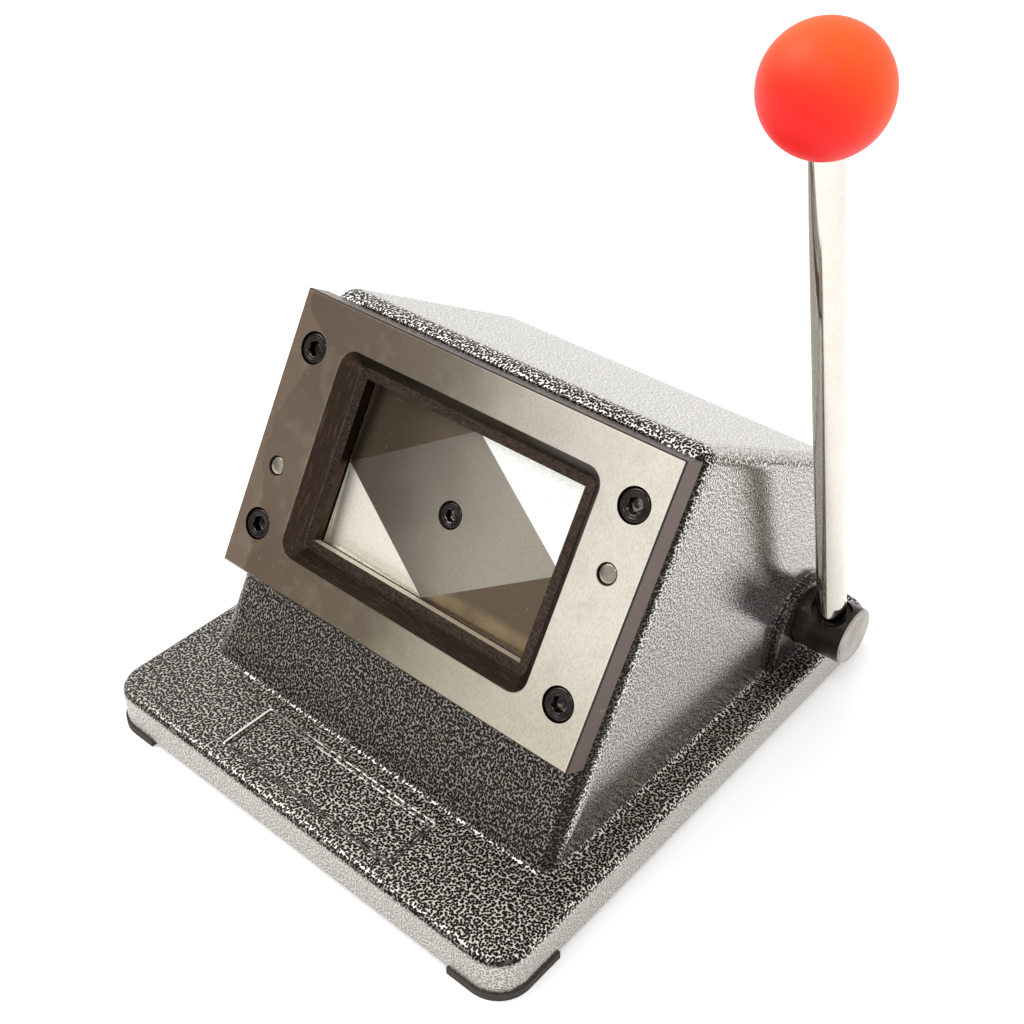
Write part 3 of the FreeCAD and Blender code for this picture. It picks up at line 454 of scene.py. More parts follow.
def plateSides(steel, look, place, u, v, d):
    # oxidised sides, the window's worn wall and its land
    halfU, halfV = look["windowHalf"]
    inside = times(
        steel,
        fade(steel, unsigned(steel, u), halfU + mm(1.5), halfU + mm(0.6)),
        fade(steel, unsigned(steel, v), halfV + mm(1.5), halfV + mm(0.6)),
    )
    # painted shade: the chamfer along the top of the sides is painted dark
    sideHeight = fade(steel, d, plateThickness - mm(0.95), plateThickness - mm(0.75))
    sideTone = mixTones(steel, sideHeight, look["side"], look["edge"])
    streak = noise(steel, place, 1700, 4.0, 0.65)
    wornLine = times(steel, fade(steel, d, mm(3.5), mm(3.8)), fade(steel, d, mm(4.5), mm(4.0)))
    wornHere = times(steel, wornLine, fade(steel, streak, 0.42, 0.68, 0.0, look["wornShare"]))

    # long scuffs that follow each wall of the window
    alongV = noise(steel, place, 1300, 3.0, 0.6, stretch=(1.0, 0.12, 1.0))
    alongU = noise(steel, place, 1300, 3.0, 0.6, stretch=(0.12, 1.0, 1.0))
    onEnds = fade(steel, unsigned(steel, u), look["landHalf"] - mm(0.3), look["landHalf"])
    scuffs = plus(steel, alongU, times(steel, onEnds, minus(steel, alongV, alongU)))
    scuffed = fade(steel, scuffs, 0.5, 0.72, 0.0, look["scuffShare"])
    wallTone = mixTones(steel, scuffed, look["wall"], look["scuff"])
    wallTone = mixTones(steel, wornHere, wallTone, look["worn"])

    landHere = fade(steel, d, look["landHeight"] + mm(0.15), look["landHeight"] + mm(0.02))
    # painted reflection: the lower land is painted pale
    paintedReflectionLip = times(steel, fade(steel, v, *look["lipFrom"]), fade(steel, v, *look["lipTo"]), landHere)
    wallTone = mixTones(steel, landHere, wallTone, mixTones(steel, paintedReflectionLip, look["land"], look["paintedReflectionLip"]))
    body = mixTones(steel, inside, sideTone, wallTone)
    streaked = fade(steel, streak, 0.45, 0.75, 0.0, look["streakShare"])
    return mixTones(steel, streaked, body, look["streak"]), paintedReflectionLip


def makePlateSteel(look):
    steel = newMaterial("plateSteel", Metallic=1.0)
    place = facePlace(steel)
    u, v, d = axesOf(steel, place)[0:3]
    grain = noise(steel, place, 2200, 3.0, 0.6, stretch=(1.0, 0.45, 1.0), turn=math.radians(38))
    top = plateTop(steel, look, place, u, v, grain)
    body, paintedReflectionLip = plateSides(steel, look, place, u, v, d)
    isTop = fade(steel, d, plateThickness - mm(0.12), plateThickness - mm(0.04))
    toShader(steel, "Base Color", mixTones(steel, isTop, body, top))
    # the painted lower land is made almost unmetallic, so it shows as a pale band
    toShader(steel, "Metallic", fade(steel, paintedReflectionLip, 0.0, 1.0, 1.0, look["lipMetal"]))
    toShader(steel, "Roughness", fade(steel, grain, 0.2, 0.8, *look["roughness"]))
    toShader(steel, "Normal", bump(steel, grain, look["relief"], look["reliefStrength"]))
    return steel


# punch with its ground-down corners

punchSteel = {
    # painted reflection and shade: the flat face is darker on the left, lighter on the right
    "diamondLeft": tone(88, 79, 70),
    "diamondRight": tone(160, 153, 140),
    "diamondFrom": (mm(-23), mm(35)),
    "halfWidth": mm(43.0),
    "halfHeight": mm(27.5),
    # the corner facets' tones are painted reflection: top right and bottom left painted near white,
    # top left and bottom right painted dark
    "topLeft": tone(70, 58, 46),
    "topLeftInner": tone(98, 86, 72),
    "topRight": tone(255, 255, 250),
    "bottomLeft": tone(242, 236, 222),
    "bottomRight": tone(98, 84, 69),
    "gold": tone(150, 131, 100),       # a golden band along the lower edge
    "goldFrom": (mm(-20), mm(-24.5)),
    "goldTo": (mm(-27.2), mm(-25.6)),
    "pore": tone(70, 60, 50),
    "poreShare": 0.22,
    "toneDrift": (45, mm(20)),               # scale and reach of the tones' drift
    "scratch": tone(196, 188, 172),
    "scratchShare": 0.14,
    "scratches": ((-35, 0.76), (62, 0.77), (12, 0.775)),   # direction in degrees, and how rare
    "speckShare": 0.35,
    "roughness": (0.3, 0.46),
    "relief": mm(0.008),
    "reliefStrength": 0.5,
}


def makePunchSteel(look):
    steel = newMaterial("punchSteel", Metallic=0.85)
    place = facePlace(steel)
    u, v = axesOf(steel, place)[0:2]
    spread = plus(
        steel,
        calc(steel, "DIVIDE", unsigned(steel, u), look["halfWidth"]),
        calc(steel, "DIVIDE", unsigned(steel, v), look["halfHeight"]),
    )
    # painted reflection: the corner facets are painted near white or dark, and the flat face darker
    # to the left
    corner = fade(steel, spread, 0.995, 1.005)
    right = fade(steel, u, mm(-1), mm(1))
    high = fade(steel, v, mm(-1), mm(1))
    driftScale, driftReach = look["toneDrift"]
    toneDrift = noise(steel, place, driftScale, 3.0)
    band = times(steel, fade(steel, v, *look["goldFrom"]), fade(steel, v, *look["goldTo"]))
    gilt = times(steel, band, fade(steel, toneDrift, 0.3, 0.6))
    lowRight = mixTones(steel, gilt, look["bottomRight"], look["gold"])
    lowPair = mixTones(steel, right, look["bottomLeft"], lowRight)
    inward = fade(steel, u, mm(-30), mm(-4))
    topLeft = mixTones(steel, inward, look["topLeft"], look["topLeftInner"])
    highPair = mixTones(steel, right, topLeft, look["topRight"])
    facets = mixTones(steel, high, lowPair, highPair)
    # painted reflection and shade across the flat face, darker to the left
    driftedU = plus(steel, u, times(steel, toneDrift, driftReach))
    toRight = fade(steel, driftedU, *look["diamondFrom"])
    diamond = mixTones(steel, toRight, look["diamondLeft"], look["diamondRight"])
    colour = mixTones(steel, corner, diamond, facets)
    grain = noise(steel, place, 1500, 3.0, 0.6)
    pores = fade(steel, grain, 0.4, 0.75, 0.0, look["poreShare"])
    colour = mixTones(steel, pores, colour, look["pore"])
    colour = mixTones(steel, specks(steel, place, look["speckShare"]), colour, look["scratch"])

    # a few fine scratches, long and thin across the face
    for degrees, limit in look["scratches"]:
        line = noise(
            steel, place, 1900, 1.0, 0.5, stretch=(0.04, 1.0, 0.4), turn=math.radians(degrees),
        )
        scratched = fade(steel, line, limit, limit + 0.02, 0.0, look["scratchShare"])
        colour = mixTones(steel, scratched, colour, look["scratch"])
    toShader(steel, "Base Color", colour)
    toShader(steel, "Roughness", fade(steel, grain, 0.2, 0.8, *look["roughness"]))
    toShader(steel, "Normal", bump(steel, grain, look["relief"], look["reliefStrength"]))
    return steel


# plain metals, plastic and rubber

metalFinishes = {
    "brightSteel": {
        "colour": tone(196, 192, 184), "shade": tone(150, 145, 136),
        "grain": 900, "rough": (0.22, 0.36),
    },
    "blackSteel": {
        "colour": tone(34, 31, 30), "shade": tone(16, 14, 13),
        "grain": 700, "rough": (0.26, 0.42), "metal": 0.8,
    },
    "polishedNickel": {
        "colour": tone(219, 215, 207), "shade": tone(211, 205, 195),
        "grain": 900, "rough": (0.06, 0.09), "relief": 0.04,
    },
    "oiledBronze": {
        "colour": tone(196, 160, 104), "shade": tone(150, 112, 66),
        "grain": 500, "rough": (0.28, 0.42),
    },
    "turnedBrass": {
        "colour": tone(222, 192, 118), "shade": tone(180, 148, 84),
        "grain": 600, "rough": (0.2, 0.32),
    },
    "turnedSteel": {
        "colour": tone(174, 166, 153), "shade": tone(130, 121, 109),
        "grain": 520, "rough": (0.16, 0.28),
    },
    "springSteel": {
        "colour": tone(120, 118, 118), "shade": tone(84, 82, 84),
        "grain": 500, "rough": (0.25, 0.4),
    },
    "zincSheet": {
        "colour": tone(196, 200, 202), "shade": tone(166, 170, 176),
        "grain": 120, "rough": (0.3, 0.46),
    },
}


def makeMetal(name, look):
    metal = newMaterial(name, Metallic=look.get("metal", 1.0))
    place = objectPlace(metal)
    grain = noise(metal, place, look["grain"], 4.0, 0.6)
    cloud = noise(metal, place, look["grain"] / 9, 2.0)
    mottled = plus(metal, times(metal, grain, 0.6), times(metal, cloud, 0.4))
    colour = mixTones(metal, fade(metal, mottled, 0.3, 0.7), look["shade"], look["colour"])
    toShader(metal, "Base Color", colour)
    smooth, rough = look["rough"]
    toShader(metal, "Roughness", fade(metal, mottled, 0.3, 0.7, rough, smooth))
    toShader(metal, "Normal", bump(metal, grain, mm(0.01), look.get("relief", 0.4)))
    return metal


# black oxide with bright patches inside the sockets: partly rubbed off by the key, partly painted
# glints

screwSteel = {
    "colour": tone(62, 57, 54), "shade": tone(34, 30, 28),
    "grain": 2400, "rough": (0.12, 0.24), "relief": 0.9,
    "wearAndGlint": tone(140, 131, 121),
    "wearAndGlintShare": 0.8,
    "patches": 620,
    "plateScrewAt": (mm(62.5), mm(30)),   # the punch's screw is in the middle
    "socket": (mm(2.5), mm(2.2)),
}


def makeScrewSteel(look):
    steel = makeMetal("screwSteel", look)
    blackened = steel.node_tree.nodes["Principled BSDF"].inputs["Base Color"].links[0].from_socket
    place = facePlace(steel)
    u, v = axesOf(steel, place)[0:2]

    def fromAxis(screwU, screwV):
        besideU = minus(steel, unsigned(steel, u), screwU)
        besideV = minus(steel, unsigned(steel, v), screwV)
        return distance(steel, besideU, besideV)

    nearest = calc(steel, "MINIMUM", fromAxis(*look["plateScrewAt"]), fromAxis(0.0, 0.0))
    patches = noise(steel, place, look["patches"], 3.0, 0.6)
    # bright patches in the sockets: partly wear from the key, partly painted glints
    wearAndGlint = times(
        steel,
        fade(steel, patches, 0.48, 0.62, 0.0, look["wearAndGlintShare"]),
        fade(steel, nearest, *look["socket"]),
    )
    toShader(steel, "Base Color", mixTones(steel, wearAndGlint, blackened, look["wearAndGlint"]))
    return steel


shaftSteel = {
    "black": tone(38, 33, 30),
    "worn": tone(70, 62, 56),
    "bare": tone(164, 157, 148),
    "bareShade": tone(134, 124, 119),
    "endFrom": mm(86.0),
    "roughness": (0.26, 0.38),
}


def makeShaftSteel(look):
    # blackened all round, with the turned end left bare
    steel = newMaterial("shaftSteel", Metallic=0.7)
    place = objectPlace(steel)
    x = axesOf(steel, place)["X"]
    nx = axesOf(steel, addNode(steel, "ShaderNodeNewGeometry").outputs["Normal"])["X"]
    cloud = noise(steel, place, 90, 3.0)
    grain = noise(steel, place, 1300, 3.0, 0.6)
    black = mixTones(steel, fade(steel, cloud, 0.5, 0.75), look["black"], look["worn"])
    bare = mixTones(steel, fade(steel, cloud, 0.35, 0.65), look["bare"], look["bareShade"])
    nearEnd = fade(steel, x, look["endFrom"], look["endFrom"] + mm(0.4))
    end = times(steel, fade(steel, nx, 0.5, 0.72), nearEnd)
    toShader(steel, "Base Color", mixTones(steel, end, black, bare))
    toShader(steel, "Roughness", fade(steel, grain, 0.3, 0.7, *look["roughness"]))
    toShader(steel, "Normal", bump(steel, grain, mm(0.01), 0.4))
    return steel


knobPlastic = {
    "colour": tone(252, 84, 18),
    "deep": tone(222, 6, 2),
    "roughness": (0.46, 0.49),
    "paintedLitSide": (0.03, 0.7, 0.7),   # the side painted paler orange, as painted light
    "paintedLitFrom": (mm(-12), mm(11)),  # along that direction, from the ball's middle
    "cloud": mm(3),
}


def makeKnobPlastic(look):
    plastic = newMaterial(
        "knobPlastic", Subsurface_Weight=0.05, Subsurface_Scale=mm(3), Specular_IOR_Level=0.3,
    )
    place = objectPlace(plastic)
    low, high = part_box("ball_knob")
    cloud = noise(plastic, place, 70, 2.0)
    fromMiddle = addNode(
        plastic, "ShaderNodeVectorMath", {0: place, 1: (low + high) / 2}, operation="SUBTRACT",
    )
    facing = addNode(
        plastic, "ShaderNodeVectorMath",
        {0: fromMiddle.outputs[0], 1: look["paintedLitSide"]}, operation="DOT_PRODUCT",
    )
    lift = plus(plastic, facing.outputs["Value"], times(plastic, cloud, look["cloud"]))
    # painted light and shade: paler orange toward one side, deep red away from it
    paintedLight = fade(plastic, lift, *look["paintedLitFrom"])
    toShader(plastic, "Base Color", mixTones(plastic, paintedLight, look["deep"], look["colour"]))
    toShader(plastic, "Roughness", fade(plastic, cloud, 0.3, 0.7, *look["roughness"]))
    toShader(plastic, "Normal", bump(plastic, noise(plastic, place, 160, 2.0), mm(0.02), 0.3))
    return plastic


paintedGlint = {
    # the bead's painted highlight colour
    "bare": tone(255, 252, 244),
    "paint": tone(70, 66, 60),
    "left": mm(-43.7),
    "back": mm(-76.3),
    "roughness": (0.25, 0.4),
}


def makePaintedGlint(look):
    # painted highlight: the bead is painted bright along its left side and here and there along its
    # back
    paint = newMaterial("paintedGlint", Metallic=0.5)
    place = objectPlace(paint)
    x, y = axesOf(paint, place)[0:2]
    wearAndGlint = noise(paint, place, 650, 3.0)
    left = fade(paint, x, look["left"] + mm(0.3), look["left"])
    atBack = fade(paint, y, look["back"] - mm(0.4), look["back"])
    back = times(
        paint, atBack,
        fade(paint, wearAndGlint, 0.42, 0.52),
        fade(paint, x, mm(-40), mm(0), 0.15, 0.85),
    )
    paintedGlintMask = calc(paint, "MAXIMUM", left, back)
    toShader(paint, "Base Color", mixTones(paint, paintedGlintMask, look["paint"], look["bare"]))
    toShader(paint, "Roughness", fade(paint, wearAndGlint, 0.3, 0.7, *look["roughness"]))
    return paint


footRubber = {"colour": tone(44, 38, 34), "dust": tone(66, 58, 52), "roughness": (0.75, 0.9)}


def makeFootRubber(look):
    rubber = newMaterial("footRubber")
    place = objectPlace(rubber)
    grain = noise(rubber, place, 1400, 4.0, 0.7)
    colour = mixTones(rubber, fade(rubber, grain, 0.4, 0.75), look["colour"], look["dust"])
    toShader(rubber, "Base Color", colour)
    toShader(rubber, "Roughness", fade(rubber, grain, 0.2, 0.8, *look["roughness"]))
    toShader(rubber, "Normal", bump(rubber, grain, mm(0.05), 0.6))
    return rubber


finishes = {name: makeMetal(name, look) for name, look in metalFinishes.items()}
finishes["hammeredPaint"] = makeHammeredPaint(hammeredPaint)
finishes["plateSteel"] = makePlateSteel(groundSteel)
finishes["punchSteel"] = makePunchSteel(punchSteel)
finishes["screwSteel"] = makeScrewSteel(screwSteel)
finishes["shaftSteel"] = makeShaftSteel(shaftSteel)
finishes["knobPlastic"] = makeKnobPlastic(knobPlastic)
finishes["footRubber"] = makeFootRubber(footRubber)
finishes["paintedGlint"] = makePaintedGlint(paintedGlint)
print("finishes made:", len(finishes))

finishOfNode = {
    "body_casting": "hammeredPaint",
    "bottom_cover": "zincSheet",
    "cover_screws": "blackSteel",
    "die_plate": "plateSteel",
    "die_screws": "blackSteel",
    "dowel_pins": "brightSteel",
    "stripper_plate": "brightSteel",
    "stripper_screws": "blackSteel",
    "punch": "punchSteel",
    "punch_screw": "blackSteel",
    "punch_pins": "brightSteel",
    "ram": "brightSteel",
    "guide_bush": "oiledBronze",
    "return_spring": "springSteel",
    "spring_seat": "blackSteel",
    "seat_snap_ring": "springSteel",
    "follower_roller": "brightSteel",
    "roller_bush": "oiledBronze",
    "roller_pin": "brightSteel",
    "roller_clips": "springSteel",
    "cam": "brightSteel",
    "cam_pin": "springSteel",
    "cross_shaft": "shaftSteel",
    "shaft_bush_right": "oiledBronze",
    "shaft_bush_left": "oiledBronze",
    "shaft_collar_right": "blackSteel",
    "shaft_collar_left": "blackSteel",
    "collar_screws": "blackSteel",
    "shaft_end_cap": "blackSteel",
    "lever_rod": "polishedNickel",
    "ball_knob": "knobPlastic",
    "knob_insert": "turnedBrass",
    "foot_front_left": "footRubber",
    "foot_front_right": "footRubber",
    "foot_rear_left": "footRubber",
    "foot_rear_right": "footRubber",
}
for name, node in nodes.items():
    node.data.materials.clear()
    node.data.materials.append(finishes[finishOfNode[name]])
print("finishes given to the nodes")


# modelling helpers

def selectOnly(piece):
    bpy.ops.object.select_all(action="DESELECT")
    piece.select_set(True)
    bpy.context.view_layer.objects.active = piece


def applyPlace():
    bpy.ops.object.transform_apply(location=True, rotation=True, scale=True)


def turnedPiece(name, profile, sides):
    # a lathe piece: (radius, height) rings from its lower end to its upper one
    bpy.ops.object.select_all(action="DESELECT")
    radius, height = profile[0]
    bpy.ops.mesh.primitive_circle_add(
        vertices=sides, radius=radius, fill_type="NGON", location=(0, 0, height),
    )
    piece = bpy.context.object
    piece.name = name
    applyPlace()
    bpy.ops.object.mode_set(mode="EDIT")
    bpy.ops.mesh.select_all(action="SELECT")
    for nextRadius, nextHeight in profile[1:]:
        rise = (0, 0, nextHeight - height)
        bpy.ops.mesh.extrude_region_move(TRANSFORM_OT_translate={"value": rise})
        growth = nextRadius / radius
        bpy.ops.transform.resize(value=(growth, growth, 1), center_override=(0, 0, nextHeight))
        radius, height = nextRadius, nextHeight
    bpy.ops.mesh.select_all(action="SELECT")
    bpy.ops.mesh.normals_make_consistent(inside=False)
    bpy.ops.object.mode_set(mode="OBJECT")
    return piece


def cutAway(piece, tool):
    selectOnly(piece)
    bpy.ops.object.modifier_add(type="BOOLEAN")
    modifier = piece.modifiers[-1]
    modifier.operation = "DIFFERENCE"
    modifier.object = tool
    bpy.ops.object.modifier_apply(modifier=modifier.name)
    bpy.data.objects.remove(tool)


def cutCone(piece, sides, radius, depth, height):
    # a hollow cone that opens upwards, its middle at the height
    bpy.ops.mesh.primitive_cone_add(
        vertices=sides, radius1=0, radius2=radius, depth=depth, location=(0, 0, height),
    )
    cutAway(piece, bpy.context.object)


def smoothBySharpness(piece, degrees=32):
    selectOnly(piece)
    bpy.ops.object.shade_smooth_by_angle(angle=math.radians(degrees))


def joinPieces(pieces, name):
    bpy.ops.object.select_all(action="DESELECT")
    for piece in pieces:
        piece.select_set(True)
    bpy.context.view_layer.objects.active = pieces[0]
    if len(pieces) > 1:
        bpy.ops.object.join()
    joined = bpy.context.object
    joined.name = name
    return joined


def copiesJoined(piece, places):
    # one mesh with a copy of the piece at every (u, v) place
    copies = []
    for u, v in places:
        selectOnly(piece)
        bpy.ops.object.duplicate(linked=False)
        bpy.ops.transform.translate(value=(u, v, 0))
        applyPlace()
        copies.append(bpy.context.object)
    name = piece.name
    bpy.data.objects.remove(piece)
    return joinPieces(copies, name)


def layOnFace(piece):
    # from the face's own directions to its real place
    piece.rotation_euler = (faceTilt, 0, 0)
    piece.location = faceOrigin
    selectOnly(piece)
    applyPlace()


def finish(piece, finishName, body, slotName, *standsFor):
    piece.data.materials.clear()
    piece.data.materials.append(finishes[finishName])
    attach(piece, body)
    if standsFor:
        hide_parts(*standsFor)


# socket screws of the die plate and the punch

dieScrews = {
    "size": mm(6),
    "head": mm(10.02),
    "length": mm(22),
    "top": plateThickness,
    "key": mm(4.7),           # across the socket's flats
    "places": [(mm(u), mm(v)) for u in (-62.5, 62.5) for v in (-30, 30)],
}
punchScrew = {
    "size": mm(5),
    "head": mm(8.35),
    "length": mm(34),
    "top": mm(-1.35),
    "key": mm(3.9),
    "places": [(0, 0)],
}
screwShape = {                # shares of the screw's size, of its head's radius and of its socket
    "brim": 0.15,
    "tip": (0.8, 0.25),
    "step": (0.72, 0.01),     # where the face's shallow step begins
    "stepFoot": 0.68,
    "stepDepth": 0.035,
    "faceInner": 0.4,
    "mouth": (1.3, 0.8, 0.27),      # the countersink's radius, depth and sink
    "drill": (0.9, 0.22, 0.6),      # the drill's point: radius, depth and sink
    "sides": 64,
}


def makeCapScrews(name, look, shape):
    size, head, top, sides = look["size"], look["head"] / 2, look["top"], shape["sides"]
    shoulder, shank, brim = top - size, size / 2, size * shape["brim"]
    tipRadius, tipLength = shape["tip"]
    stepFrom, stepFall = shape["step"]
    face = top - size * shape["stepDepth"]
    profile = [
        (shank * tipRadius, shoulder - look["length"]),
        (shank, shoulder - look["length"] + shank * tipLength),
        (shank, shoulder),
        (head - brim * 0.3, shoulder),
        (head, shoulder + brim * 0.3),
    ]
    for degrees in range(0, 91, 15):          # the rounded edge of the head
        angle = math.radians(degrees)
        profile.append((head - brim * (1 - math.cos(angle)), top - brim * (1 - math.sin(angle))))
    profile += [
        (head * stepFrom, top - size * stepFall),
        (head * shape["stepFoot"], face),
        (head * shape["faceInner"], face),
    ]
    screw = turnedPiece(name, profile, sides)
    flats = look["key"] / 2
    corner = flats / math.cos(math.radians(30))
    bpy.ops.mesh.primitive_cylinder_add(vertices=6, radius=corner, depth=size, location=(0, 0, top))
    cutAway(screw, bpy.context.object)
    mouthRadius, mouthDepth, mouthSink = shape["mouth"]
    cutCone(screw, sides, corner * mouthRadius, corner * mouthDepth, face - corner * mouthSink)
    drillRadius, drillDepth, drillSink = shape["drill"]
    cutCone(screw, sides, flats * drillRadius, size * drillDepth, top - size * drillSink)
    smoothBySharpness(screw)
    screws = copiesJoined(screw, look["places"])
    layOnFace(screws)
    return screws


plateCapScrews = makeCapScrews("plateCapScrews", dieScrews, screwShape)
finish(plateCapScrews, "screwSteel", "base", "black_steel", "die_screws")
punchCapScrew = makeCapScrews("punchCapScrew", punchScrew, screwShape)
finish(punchCapScrew, "screwSteel", "ram", "black_steel", "punch_screw")
print("socket screws made")


# dowels with turned, domed ends

dowels = {
    "radius": mm(3),
    "length": mm(24),
    "top": plateThickness + mm(0.15),
    "crown": mm(0.55),
    "places": [(mm(-62.2), mm(-9.7)), (mm(62.2), mm(9.7))],
    "rings": 7,
    "sides": 48,
    "tip": (0.86, 0.2),       # shares of the radius
}


def makeDowels(look):
    radius, crown, top = look["radius"], look["crown"], look["top"]
    bottom = top - look["length"]
    tipRadius, tipLength = look["tip"]
    profile = [(radius * tipRadius, bottom), (radius, bottom + radius * tipLength)]
    for step in range(look["rings"] + 1):
        angle = math.radians(88 * step / look["rings"])   # short of 90, so the last ring stays open
        profile.append((radius * math.cos(angle), top - crown + crown * math.sin(angle)))
    dowel = turnedPiece("plateDowels", profile, look["sides"])
    smoothBySharpness(dowel, 50)
    pair = copiesJoined(dowel, look["places"])
    layOnFace(pair)
    return pair


finish(makeDowels(dowels), "turnedSteel", "base", "bright_steel", "dowel_pins")
print("dowels made")


# return spring, made at one length; the real one shortens as the ram comes forward

returnSpring = {
    "radius": mm(21.45),
    "wire": mm(2.5),
    "turns": 4,
    "from": mm(-65.161),      # the end against the ram's seat
    "to": mm(-45.264),        # the end against the guide block
    "middle": mm(0.066),      # height of its axis on the face
    "travel": mm(7.5),
    "sides": 16,
    "stepsPerTurn": 48,
}


def makeReturnSpring(look):
    start, end = look["from"] + look["wire"] / 2, look["to"] - look["wire"] / 2
    bpy.ops.object.select_all(action="DESELECT")
    bpy.ops.mesh.primitive_circle_add(
        vertices=look["sides"], radius=look["wire"] / 2,
        location=(look["radius"], 0, start), rotation=(math.pi / 2, 0, 0),
    )
    spring = bpy.context.object
    spring.name = "ramReturnSpring"
    applyPlace()
    bpy.ops.object.modifier_add(type="SCREW")
    coil = spring.modifiers[-1]
    coil.axis = "Z"
    coil.angle = 2 * math.pi
    coil.iterations = look["turns"]
    coil.screw_offset = (end - start) / look["turns"]
    coil.steps = look["stepsPerTurn"]
    coil.render_steps = look["stepsPerTurn"]
    bpy.ops.object.modifier_apply(modifier=coil.name)
    bpy.ops.object.mode_set(mode="EDIT")
    bpy.ops.mesh.select_all(action="SELECT")
    bpy.ops.mesh.fill_holes(sides=0)
    bpy.ops.mesh.select_all(action="SELECT")
    bpy.ops.mesh.normals_make_consistent(inside=False)
    bpy.ops.mesh.select_all(action="DESELECT")
    bpy.ops.object.mode_set(mode="OBJECT")
    smoothBySharpness(spring)
    spring.location = (0, look["middle"], 0)
    applyPlace()
    layOnFace(spring)
    return spring


ramReturnSpring = makeReturnSpring(returnSpring)
finish(ramReturnSpring, "springSteel", "base", "spring_steel", "return_spring")
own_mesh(ramReturnSpring)
print("return spring made")


# beads round the panel of the base, with painted highlights on them

panelBeads = {
    "middle": (mm(-7.9), mm(-84.5)),
    "rings": (                   # inset from the panel's edge, middle height and radius
        (mm(0.0), mm(15.95), mm(0.36)),
        (mm(1.5), mm(15.62), mm(0.24)),
    ),
    "size": (mm(73), mm(20)),
    "cornerCut": mm(0.8),
}


def makePanelBeads(look):
    beads = []
    width, depth = look["size"]
    for inset, height, radius in look["rings"]:
        bpy.ops.object.select_all(action="DESELECT")
        bpy.ops.mesh.primitive_plane_add(size=1, location=(*look["middle"], height))
        bead = bpy.context.object
        bead.scale = (width - 2 * inset, depth - 2 * inset, 1)
        applyPlace()
        bpy.ops.object.mode_set(mode="EDIT")
        bpy.ops.mesh.select_all(action="SELECT")
        bpy.ops.mesh.bevel(offset=look["cornerCut"], segments=4, affect="VERTICES")
        bpy.ops.mesh.select_all(action="SELECT")
        bpy.ops.mesh.delete(type="ONLY_FACE")
        bpy.ops.object.mode_set(mode="OBJECT")
        bpy.ops.object.convert(target="CURVE")
        bead.data.bevel_depth = radius
        bead.data.bevel_resolution = 3
        bpy.ops.object.convert(target="MESH")
        beads.append(bpy.context.object)
    joined = joinPieces(beads, "panelBeads")
    smoothBySharpness(joined, 60)
    return joined


finish(makePanelBeads(panelBeads), "paintedGlint", "base", "paint")
print("panel beads made")


# floor, light and camera

studio = {
    "floorWidth": 8.0,
    "floor": tone(250, 250, 250),
    "fibre": tone(255, 255, 255),
    "floorGlow": 0.16,               # lit from below, as a light table
    "sky": (1.0, 1.0, 1.0),
    "skyStrength": 1.05,
    "darkSide": (-0.8, -0.6, 0.0),   # the unlit corner of the room, front left
    "darkFrom": (0.88, 0.995),       # cosine of the angle to its middle
    "darkLevel": 0.35,
    "lightsAimAt": (0, 0, 0.08),
}
softBox = {
    "from": (-0.55, -0.3, 0.85),     # direction from the object
    "distance": 1.3,
    "size": 0.9,
    "power": 8,
}
keyLight = {                         # a small, hard light high over the front
    "from": (0.24, -0.54, 0.80),
    "distance": 1.2,
    "size": 0.2,
    "power": 1.6,
}


def makeFloor(look):
    bpy.ops.mesh.primitive_plane_add(size=look["floorWidth"], location=(0, 0, 0))
    floor = bpy.context.object
    floor.name = "floor"
    paper = newMaterial(
        "floorPaper", Roughness=0.9,
        Emission_Color=(1, 1, 1, 1), Emission_Strength=look["floorGlow"],
    )
    fibre = noise(paper, objectPlace(paper), 300, 3.0)
    toShader(paper, "Base Color", mixTones(paper, fibre, look["floor"], look["fibre"]))
    floor.data.materials.append(paper)


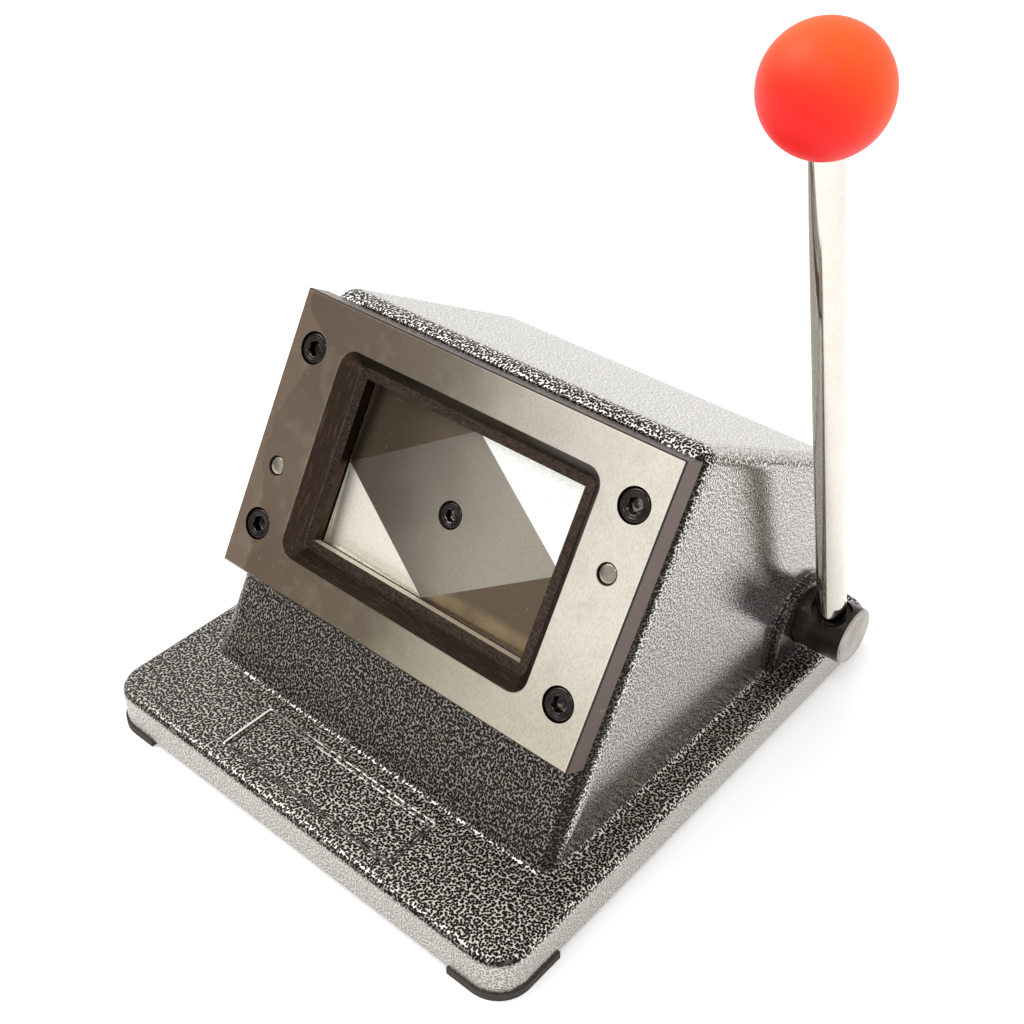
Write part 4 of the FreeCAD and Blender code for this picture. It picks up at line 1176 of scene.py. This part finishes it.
def makeSky(look):
    # even light from all round but for one dark corner, which the camera still sees as white
    world = bpy.data.worlds.new("room")
    bpy.context.scene.world = world
    world.use_nodes = True
    tree = world.node_tree
    strength = look["skyStrength"]

    facing = tree.nodes.new("ShaderNodeVectorMath")
    facing.operation = "DOT_PRODUCT"
    facing.inputs[1].default_value = Vector(look["darkSide"]).normalized()
    direction = tree.nodes.new("ShaderNodeTexCoord").outputs["Generated"]
    tree.links.new(direction, facing.inputs[0])

    level = tree.nodes.new("ShaderNodeMapRange")
    level.interpolation_type = "SMOOTHSTEP"
    darkStart, darkEnd = look["darkFrom"]
    level.inputs["From Min"].default_value = darkStart
    level.inputs["From Max"].default_value = darkEnd
    level.inputs["To Min"].default_value = strength
    level.inputs["To Max"].default_value = strength * look["darkLevel"]
    tree.links.new(facing.outputs["Value"], level.inputs["Value"])

    backdrop = tree.nodes.new("ShaderNodeMix")
    backdrop.inputs["B"].default_value = strength
    seen = tree.nodes.new("ShaderNodeLightPath").outputs["Is Camera Ray"]
    tree.links.new(seen, backdrop.inputs["Factor"])
    tree.links.new(level.outputs["Result"], backdrop.inputs["A"])

    background = tree.nodes["Background"]
    background.inputs["Color"].default_value = (*look["sky"], 1)
    tree.links.new(backdrop.outputs["Result"], background.inputs["Strength"])


def makeDiskLight(name, look):
    aim = Vector(studio["lightsAimAt"])
    place = aim + Vector(look["from"]).normalized() * look["distance"]
    bpy.ops.object.light_add(type="AREA", location=place)
    light = bpy.context.object
    light.name = name
    light.data.shape = "DISK"
    light.data.size = look["size"]
    light.data.energy = look["power"]
    light.rotation_euler = (aim - place).to_track_quat("-Z", "Y").to_euler()


makeFloor(studio)
makeSky(studio)
makeDiskLight("softBox", softBox)
makeDiskLight("keyLight", keyLight)

viewpoint = {
    "location": (0.2251377, -0.2729546, 0.3426795),
    "turn": (52.96292522, -0.48356476, 40.6316507),   # degrees
    "lens": 49.546124,
    "sensor": 36,
    "nearest": 0.01,
}
bpy.ops.object.camera_add(location=viewpoint["location"])
camera = bpy.context.object
camera.rotation_euler = [math.radians(angle) for angle in viewpoint["turn"]]
camera.data.lens = viewpoint["lens"]
camera.data.sensor_width = viewpoint["sensor"]
camera.data.clip_start = viewpoint["nearest"]
bpy.context.scene.camera = camera
bpy.context.scene.view_settings.view_transform = "Standard"
print("floor, light and camera placed")
